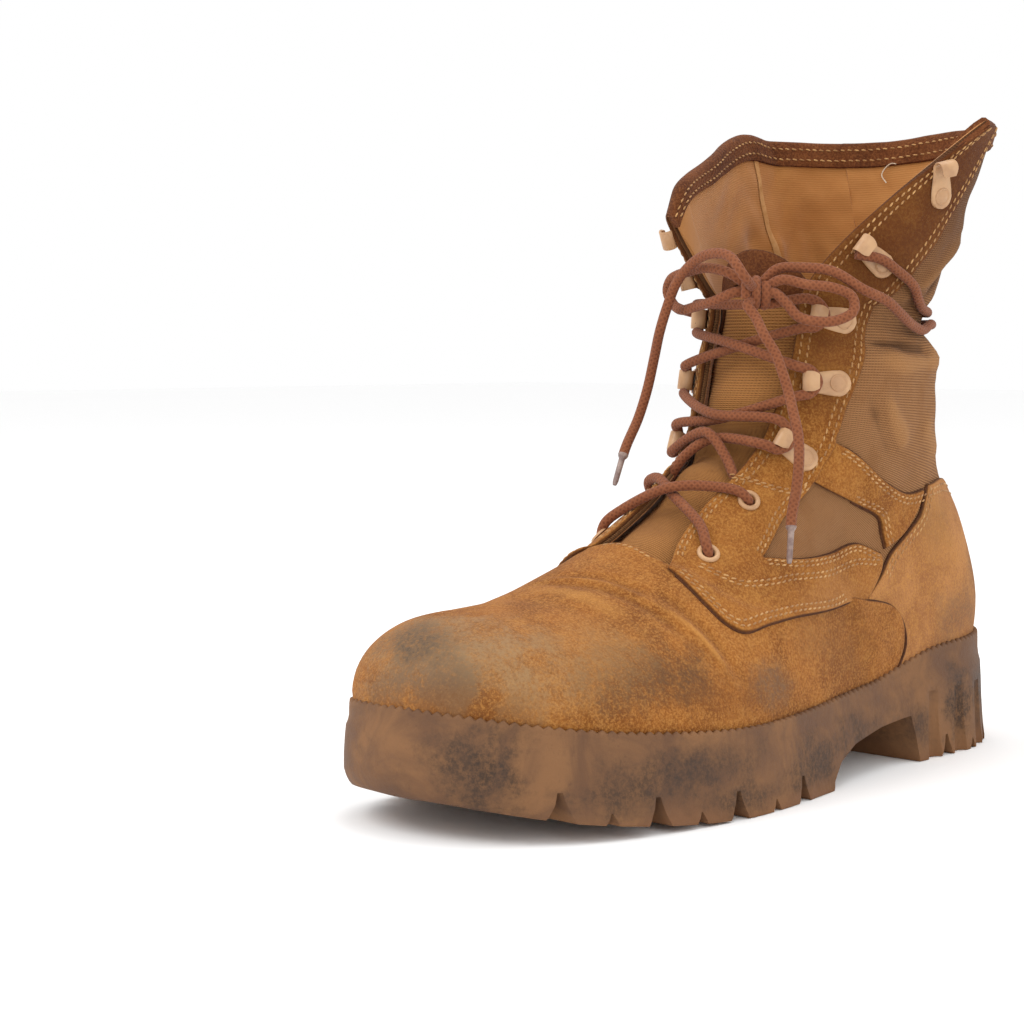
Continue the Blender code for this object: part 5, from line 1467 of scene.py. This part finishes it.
def build_hooks():
    """Ten lace hooks, each with its domed rivet."""
    plate, plate_faces = hook_plate()
    dome = [(3.3, 0.75), (3.35, 1.15), (3.05, 1.45), (2.75, 1.42), (2.6, 1.28), (2.3, 1.35), (1.5, 1.62), (0.7, 1.75),
            (0.02, 1.78), (0.02, 0.75)]
    knob, knob_faces = lathe(dome, 24)
    knob = knob + np.array([-4.25, 0, 0])
    for side, word in ((1, "lateral"), (-1, "medial")):
        for k, (i, a) in enumerate(HOOKS):
            frame_at = turned(i, a * side, seat_height(i, a * side) + 0.05, HOOK_TURN[word][k])
            faces = list(plate_faces) + [tuple(c + len(plate) for c in f) for f in knob_faces]
            points = stand(np.concatenate([plate, knob]), frame_at)
            which = [0] * len(plate_faces) + [1] * len(knob_faces)
            mesh_piece(f"lacehook_{word}_{k + 1}", points, faces, [ENAMEL, RIVET], which=which,
                       nodes=[f"hook_{word}_{k + 1}"])


def tube(name, path, radius, finish, nodes=(), sides=LACE_SIDES, taper=None):
    """Closed round tube along a path with u round it and v in metres along it."""
    path = np.asarray(path, float)
    t = np.gradient(path, axis=0)
    t /= np.linalg.norm(t, axis=1)[:, None]
    along = np.concatenate([[0], np.cumsum(np.linalg.norm(np.diff(path, axis=0), axis=1))])
    side = np.cross(t[0], [0.31, 0.42, 0.85])
    side /= np.linalg.norm(side)
    points = []
    uv = []
    angle = np.linspace(0, 2 * math.pi, sides, endpoint=False)[:, None]
    for k, (p, d) in enumerate(zip(path, t)):
        side = side - d * (side @ d)
        side /= np.linalg.norm(side)
        r = radius * (taper[k] if taper is not None else 1.0)
        points.append(p + r * (np.cos(angle) * side + np.sin(angle) * np.cross(d, side)))
        uv.append(np.column_stack([angle[:, 0] / (2 * math.pi), np.full(sides, along[k] * 0.001)]))
    n = len(path)
    points = np.concatenate(points)
    uv = np.concatenate(uv)
    faces = [tuple(range(sides))[::-1], tuple(range((n - 1) * sides, n * sides))]
    for r in range(n - 1):
        for k in range(sides):
            j = (k + 1) % sides
            faces.append((r * sides + k, r * sides + j, (r + 1) * sides + j, (r + 1) * sides + k))
    mesh = bpy.data.meshes.new(name)
    mesh.from_pydata(metres(points).tolist(), [], faces)
    mesh.materials.append(finish)
    layer = mesh.uv_layers.new(name="UVMap")
    for poly in mesh.polygons:
        whole = [mesh.loops[c].vertex_index for c in poly.loop_indices]
        wraps = len(poly.vertices) == 4 and max(uv[v, 0] for v in whole) > 0.9 and min(uv[v, 0] for v in whole) < 0.1
        for c, v in zip(poly.loop_indices, whole):
            u = uv[v, 0] + (1.0 if wraps and uv[v, 0] < 0.5 else 0.0)
            layer.data[c].uv = (u, uv[v, 1])
    mesh.shade_smooth()
    mesh.set_sharp_from_angle(angle=math.radians(60))
    ob = bpy.data.objects.new(name, mesh)
    bpy.context.scene.collection.objects.link(ob)
    bm = bmesh.new()
    bm.from_mesh(mesh)
    if bm.calc_volume(signed=True) < 0:
        bmesh.ops.reverse_faces(bm, faces=bm.faces)
        bm.to_mesh(mesh)
    bm.free()
    return own(ob, nodes)


def over(i, a, lift):
    """Point this far over the top of the suede, or over the form between the stays."""
    top = seat_height(i, a) if abs(a) > 19 else 1.2
    n = normals([i], [a])[0]
    return surface([i], [a])[0] + n * (top + lift)


def hook_turn(i, a, spin):
    """Three points round the neck of a hook, from the throat and back to it."""
    p, u, w, n = turned(i, a, seat_height(i, a), spin)
    reach = HOOK_LENGTH * 0.6
    neck = reach - 3.6
    return [p + u * (reach + 2.6) + w * 5.4 + n * 2.9, p + u * (neck + 1.2) + w * 4.2 + n * 2.9,
            p + u * (neck - 1.6) + n * 3.0,
            p + u * (neck + 1.2) - w * 4.2 + n * 3.1, p + u * (reach + 2.6) - w * 5.4 + n * 3.6]


def build_crossings():
    """The two laces from the lowest eyelets up to the third hooks."""
    r = LACE / 2
    low, up = EYELETS
    for side, word, raise_by in ((1, "a", 0.0), (-1, "b", 3.9)):
        path = [over(low[0], side * low[1], -4.2), over(low[0], side * low[1], -0.6),
                over(low[0] + 2.4, side * (low[1] - 5.5), r + 0.2), over(low[0] + 8, side * (low[1] - 14), r + 0.2),
                over((low[0] + up[0]) / 2, 0.0, r - 0.6 + raise_by), over(up[0] - 5, -side * (up[1] - 13), r + 0.2),
                over(up[0] - 1, -side * (up[1] - 4.5), r + 0.3), over(up[0], -side * up[1], -0.6),
                over(up[0], -side * up[1], -4.2)]
        tube("lace_low_" + word, spaced(spline(path, 0.8), 0.9), r, LACE_BRAID,
             nodes=["lace_bars"] if side > 0 else ())
        path = [over(up[0] + 8, -side * 21, -3.4), over(up[0] + 12, -side * 15.0, -1.6),
                over(up[0] + 22, -side * 9.0, -0.2)]
        for k, (i, a) in enumerate(HOOKS[:3]):
            flip = side if k % 2 == 0 else -side
            before = up[0] + 24 if k == 0 else HOOKS[k - 1][0]
            sag = -1.2 + (raise_by if k % 2 == 0 else 3.9 - raise_by)
            path.append(over((before + i) / 2 + 1, 0.0, r + sag))
            path += hook_turn(i, flip * a, HOOK_TURN["lateral" if flip > 0 else "medial"][k])
        end = KNOT_AT + np.array([3.0 * (1 if path[-1][0] > 0 else -1), 2.0, -4.0])
        path += [path[-1] * 0.45 + end * 0.55 + np.array([0, -1.5, 0]), end]
        tube("lace_high_" + word, spaced(spline(path, 0.8), 0.9), r, LACE_BRAID)


def knot_path():
    """Overhand wraps that hide the middle of the bow."""
    t = np.linspace(-0.4, 2 * math.pi * 2.1, 60)
    along = np.array([0.71, 0.69, 0.12])
    outward = np.array([0.66, -0.72, 0.1])
    turns = (t / (2 * math.pi) - 1.0) * 3.7
    round_z = np.array([-0.15, 0.0, 1.0])
    return (KNOT_AT + np.array([0, -1.0, 0]) + turns[:, None] * along + 3.9 * np.cos(t)[:, None] * outward
            + 4.6 * np.sin(t)[:, None] * round_z)


def free_cord(name, points, node):
    """One free lace as a round tube; its real length is worked out but not used."""
    path = spaced(spline(points, 0.8), 0.9)
    ob = tube(name, path, LACE / 2, LACE_BRAID, nodes=node)
    length = float(np.linalg.norm(np.diff(path, axis=0), axis=1).sum()) * 0.001
    return ob


def build_bow():
    """Knot, two loops, two ends with aglets, and the strands round the ankle."""
    wraps = tube("knot_wraps", knot_path(), LACE / 2, LACE_BRAID, nodes=["lace_knot"])
    for name, beside in (("lace_loop_left", [wraps]), ("lace_loop_right", [])):
        knot = [tuple(KNOT_AT * 0.72 + np.array(CORDS[name][k]) * 0.28) for k in (0, -1)]
        free_cord("bow_" + name[5:], knot[:1] + CORDS[name] + knot[1:], [name])
    for name in ("lace_end_left", "lace_end_right"):
        path = spaced(spline([tuple(KNOT_AT)] + CORDS[name], 0.8), 0.9)
        count = int(AGLET_LENGTH / 0.9)
        tip = path[-count:]
        taper = np.interp(np.linspace(0, 1, count), [0, 0.06, 0.12, 0.9, 1.0], [1.06, 0.98, 0.62, 0.56, 0.4])
        sleeve = tube("aglet_" + name[9:], tip, LACE / 2, AGLET, taper=taper)
        free_cord("bow_" + name[5:], path[:-count + 1], [name])
    wrap = [tuple(KNOT_AT + np.array([0.5, 2.0, 3.5]))] + CORD_WRAP
    for a in range(104, 292, 16):
        i = 331.0 + 2.0 * (a - 104) / 200
        n = normals([i], [a])[0]
        wrap.append(tuple(surface([i], [a])[0] + n * (LACE / 2 + (1.7 if a < 250 else 3.2))))
    free_cord("ankle_wrap", wrap + CORD_WRAP_END, ["lace_wrap"])
    back = []
    for i, a, off in ((359, 26, 5.2), (357.5, 33, 5.6), (353, 41, 4.6), (347, 52, 3.4), (341.5, 66, 2.6),
                      (338.5, 84, 2.4), (337.5, 108, 2.4), (338, 140, 2.4), (338.5, 176, 2.4), (338.5, 212, 2.4),
                      (338, 244, 2.4), (338.5, 268, 2.6), (342, 290, 3.2), (348, 308, 3.6)):
        n = normals([i], [a])[0]
        back.append(surface([i], [a])[0] + n * off)
    i = np.array([399.0, 403.5, 407.0, 408.5, 407.5])
    a = np.array([158.0, 160.5, 158.0, 154.0, 150.0])
    wisp = surface(i, a) - normals(i, a) * (WALL + 1.6 + 1.2 * np.array([1, 0, 0, 1, 2]))[:, None]
    tube("loose_thread", spaced(spline(wisp, 0.6), 0.7), 0.26, PALE_THREAD, sides=5)
    tube("ankle_back", spaced(spline(back, 0.8), 0.9), LACE / 2, LACE_BRAID)


def prism(corners, direction):
    """Closed prism from a ring of corners swept by a vector, millimetres."""
    c = np.asarray(corners, float)
    n = len(c)
    points = metres(np.concatenate([c, c + np.asarray(direction, float)])).tolist()
    faces = [tuple(range(n)), tuple(range(2 * n - 1, n - 1, -1))]
    faces += [(k, (k + 1) % n, (k + 1) % n + n, k + n) for k in range(n)]
    bm = bmesh.new()
    verts = [bm.verts.new(p) for p in points]
    for f in faces:
        bm.faces.new([verts[k] for k in f])
    bmesh.ops.recalc_face_normals(bm, faces=bm.faces)
    return bm


def build_sole():
    """Rubber sole with side lugs, arch, heel flutes and a worn, softened surface."""
    loops = [outline_loop(d) for d in
             (-SOLE_FLARE, -SOLE_FLARE, -1.5, -1.2, -0.9, -0.35, 0.0, 0.4, 1.1, LIP - 0.55, LIP - 0.5, LIP)]
    shares = [0.0, 0.04, 0.09, 0.14, 0.22, 0.4, 0.6, 0.74, 0.8, 0.86, 0.96, 1.0]
    count = 300
    rings = []
    for loop, share in zip(loops, shares):
        seg = np.linalg.norm(np.diff(np.vstack([loop, loop[:1]]), axis=0), axis=1)
        along = np.concatenate([[0], np.cumsum(seg)[:-1]]) / seg.sum()
        pick = np.searchsorted(along, np.linspace(0, 1, count, endpoint=False)).clip(0, len(loop) - 1)
        p = loop[pick]
        low = spring(p[:, 1])
        high = feather(p[:, 1])
        front = np.clip((34.0 - p[:, 1]) / 30.0, 0, 1) * max(0.0, 1 - share / 0.34) ** 2
        p = p + np.column_stack([-p[:, 0] * 0.05, np.full(count, 5.0)]) * front[:, None]
        rings.append(np.column_stack([p, low + (high - low) * share]))
    inner = [(x, s) for s in np.arange(10, 304, 8.0) for x in np.arange(-36, 44, 8.0)]
    points = np.array(inner)
    base = rings[0][:, :2]
    closed = np.vstack([base, base[:1]])
    keep = in_polygon(points, base) & (segment_distance(points, closed)[0] > 6)
    points = points[keep]
    v = np.concatenate([base, points])
    edges = [(k, (k + 1) % count) for k in range(count)]
    result = delaunay_2d_cdt([Vector(p) for p in v.tolist()], edges, [], 0, 1e-6)
    source = np.array([o[0] if o else -1 for o in result[3]])
    faces = np.array([f for f in result[2] if len(f) == 3])
    mids = np.array([tuple(p) for p in result[0]])[faces].mean(1)
    faces = source[faces[in_polygon(mids, base)]]
    m = len(points)
    low = np.column_stack([points, spring(points[:, 1])])
    high = np.column_stack([points * np.array([0.93, 1.0]), feather(points[:, 1])])
    top = (len(rings) - 1) * count
    every = np.concatenate(rings + [low, high])
    out = [tuple(k if k < count else len(rings) * count + k - count for k in f) for f in faces]
    out += [tuple(top + k if k < count else len(rings) * count + m + k - count for k in f)[::-1] for f in faces]
    for r in range(len(rings) - 1):
        for k in range(count):
            j = (k + 1) % count
            out.append((r * count + k, r * count + j, (r + 1) * count + j, (r + 1) * count + k))
    sole = mesh_piece("sole_rubber", every, out, [RUBBER], nodes=["outsole"])
    shapes = [prism([(-90, s, z) for s, z in ARCH], (180, 0, 0))]
    lat, med = branches(outline_loop(0))
    for s, wide, deep in TREAD:
        for side, plan in ((1, lat), (-1, med)):
            x = float(np.interp(s, plan[:, 1], plan[:, 0]))
            z0 = float(spring(s))
            reach = 13.0 if deep > 6 else 7.0
            top_half = wide * (0.1 if deep > 6 else 0.05)
            section = [(s - wide * 0.8, z0 - 4), (s - wide * 0.44, z0 + deep * 0.16), (s - wide * 0.2, z0 + deep * 0.6),
                       (s - top_half, z0 + deep), (s + top_half, z0 + deep), (s + wide * 0.22, z0 + deep * 0.6),
                       (s + wide * 0.4, z0 + deep * 0.16), (s + wide * 0.8, z0 - 4)]
            shapes.append(prism([(x - side * reach, q, z) for q, z in section], (side * (reach + 14), 0, 0)))
            if deep > 6:
                inward = -side * (abs(x) - reach - 5)
                c = [(s - 3, z0 - 4), (s - 1.9, z0 + 4.5), (s + 1.9, z0 + 4.5), (s + 3, z0 - 4)]
                shapes.append(prism([(x - side * (reach - 1), q, z) for q, z in c], (inward, 0, 0)))
    for s in (243, 262, 281):
        for side, plan in ((1, lat), (-1, med)):
            x = float(np.interp(s, plan[:, 1], plan[:, 0])) + side * 7.9
            ring = [(x + 9 * math.cos(t), s + 6.5 * math.sin(t), -4) for t in np.linspace(0, 2 * math.pi, 20)[:-1]]
            shapes.append(prism(ring, (0, 0, 30)))
    for k, bm in enumerate(shapes):
        mesh = bpy.data.meshes.new("cutter")
        bm.to_mesh(mesh)
        bm.free()
        cutter = bpy.data.objects.new("cutter", mesh)
        bpy.context.scene.collection.objects.link(cutter)
        mod = sole.modifiers.new("cut", "BOOLEAN")
        mod.operation = "DIFFERENCE"
        mod.solver = "EXACT"
        mod.object = cutter
        bake(sole)
        bpy.data.objects.remove(cutter, do_unlink=True)
    mod = sole.modifiers.new("worn edges", "BEVEL")
    mod.width = 0.0007
    mod.segments = 2
    mod.limit_method = "ANGLE"
    mod.angle_limit = math.radians(38)
    mod.use_clamp_overlap = True
    bake(sole)
    sole.data.shade_smooth()
    sole.data.set_sharp_from_angle(angle=math.radians(42))


def bake(ob):
    """Modifiers turned into the plain mesh."""
    bpy.context.view_layer.update()
    mesh = bpy.data.meshes.new_from_object(ob.evaluated_get(bpy.context.evaluated_depsgraph_get()))
    ob.modifiers.clear()
    ob.data = mesh


def build_lip():
    """Serrated rim of the sole against the suede."""
    outer = spaced(outline_loop(1.55), 0.42, closed=True)
    n = len(outer)
    t = np.roll(outer, -1, 0) - np.roll(outer, 1, 0)
    t /= np.linalg.norm(t, axis=1)[:, None]
    inward = np.stack([-t[:, 1], t[:, 0]], 1)
    if ((np.array([0, 155.0]) - outer) * inward).sum() < 0:
        inward = -inward
    along = np.concatenate([[0], np.cumsum(np.linalg.norm(np.diff(outer, axis=0), axis=1))])
    around = along[-1] + np.linalg.norm(outer[0] - outer[-1])
    phase = along * round(around / TOOTH_PITCH) / around % 1.0
    tooth = (1 - np.abs(2 * phase - 1)) ** 0.8
    worn = 0.75 + 0.25 * np.sin(along * 0.05) * np.sin(along * 0.017 + 2)
    height = feather(outer[:, 1])
    rows = [(0.0, -2.6, 0.0), (0.0, -0.3, 0.15), (0.15, 0.35, 0.75), (0.6, 0.5, 1.0), (1.4, 0.5, 1.0), (1.9, 0.3, 0.75),
            (2.2, -0.4, 0.1), (2.3, -2.6, 0.0)]
    rings = []
    for inset, up, share in rows:
        p = outer + inward * inset
        rings.append(np.column_stack([p, height + up + share * TOOTH_HIGH * tooth * worn]))
    m = len(rows)
    faces = []
    for r in range(m):
        for k in range(n):
            j = (k + 1) % n
            faces.append((r * n + k, r * n + j, (r + 1) % m * n + j, (r + 1) % m * n + k))
    mesh_piece("sole_teeth", np.concatenate(rings), faces, [RUBBER])


def build_insole():
    """Thin cloth-covered insole."""
    loop = spaced(outline_loop(FEATHER_INSET + WALL + 0.6), 3.0, closed=True)
    v, faces, d = triangulate([loop], 5.0, (0.6, 1.8))
    low = np.column_stack([v, feather(v[:, 1]) + 0.6])
    t = np.clip(d / 1.8, 0, 1)
    high = np.column_stack([v, feather(v[:, 1]) + 0.9 + 3.0 * (0.4 + 0.6 * np.sqrt(np.clip(1 - (1 - t) ** 2, 0, 1)))])
    n = len(v)
    out = faces.tolist() + (faces[:, ::-1] + n).tolist()
    m = len(loop)
    for k in range(m):
        j = (k + 1) % m
        out += [(k, j, j + n), (k, j + n, k + n)]
    mesh_piece("footbed", np.concatenate([high, low]), out, [INSOLE], nodes=["insole"])


def build_stage():
    """Pale floor, soft light from all round and a camera at the photograph's angle."""
    mesh = bpy.data.meshes.new("floor")
    size = 6.0
    mesh.from_pydata([(-size, -size, 0), (size, -size, 0), (size, size, 0), (-size, size, 0)], [], [(0, 1, 2, 3)])
    floor = bpy.data.objects.new("floor", mesh)
    floor.location = (0, 0, -0.0002)
    f = Finish("pale floor", rough=0.9, specular=0.1)
    mesh.materials.append(f.colour((252, 252, 252)))
    bpy.context.scene.collection.objects.link(floor)
    world = bpy.data.worlds.new("studio")
    world.use_nodes = True
    world.node_tree.nodes["Background"].inputs["Color"].default_value = (1, 1, 1, 1)
    world.node_tree.nodes["Background"].inputs["Strength"].default_value = 1.0
    bpy.context.scene.world = world
    for name, place, aim, power, wide in (
            ("key", (-0.5, -1.3, 1.5), (0, -0.1, 0.1), 13.0, 1.2), ("fill", (1.6, -0.7, 0.9), (0, -0.1, 0.1), 5.0, 1.4),
            ("top", (0.2, 0.3, 1.8), (0, -0.1, 0.1), 8.0, 1.2)):
        light = bpy.data.lights.new(name, "AREA")
        light.energy = power
        light.size = wide
        ob = bpy.data.objects.new(name, light)
        ob.location = place
        ob.rotation_euler = (Vector(aim) - Vector(place)).to_track_quat("-Z", "Y").to_euler()
        bpy.context.scene.collection.objects.link(ob)
    yaw, pitch = math.radians(44.55), math.radians(4.24)
    back = Vector((math.sin(yaw) * math.cos(pitch), -math.cos(yaw) * math.cos(pitch), math.sin(pitch)))
    right = Vector((math.cos(yaw), math.sin(yaw), 0))
    up = back.cross(right)
    cam = bpy.data.cameras.new("camera")
    cam.sensor_width = 36.0
    cam.lens = 79.88
    eye = bpy.data.objects.new("camera", cam)
    turn = Matrix((right, up, back)).transposed().to_4x4()
    turn.translation = Vector((0.5350, -0.7599, 0.1594))
    eye.matrix_world = turn
    bpy.context.scene.collection.objects.link(eye)
    bpy.context.scene.camera = eye
    bpy.context.scene.view_settings.view_transform = "Standard"


build_stage()
build_bow()
build_crossings()
build_shell()
build_suede()
build_edges()
stitch_rows = build_stitches()
build_binding(stitch_rows)
stitch_rows.make("stitching")
build_lining()
build_tongue()
build_eyelets()
build_hooks()
build_sole()
build_lip()
build_insole()
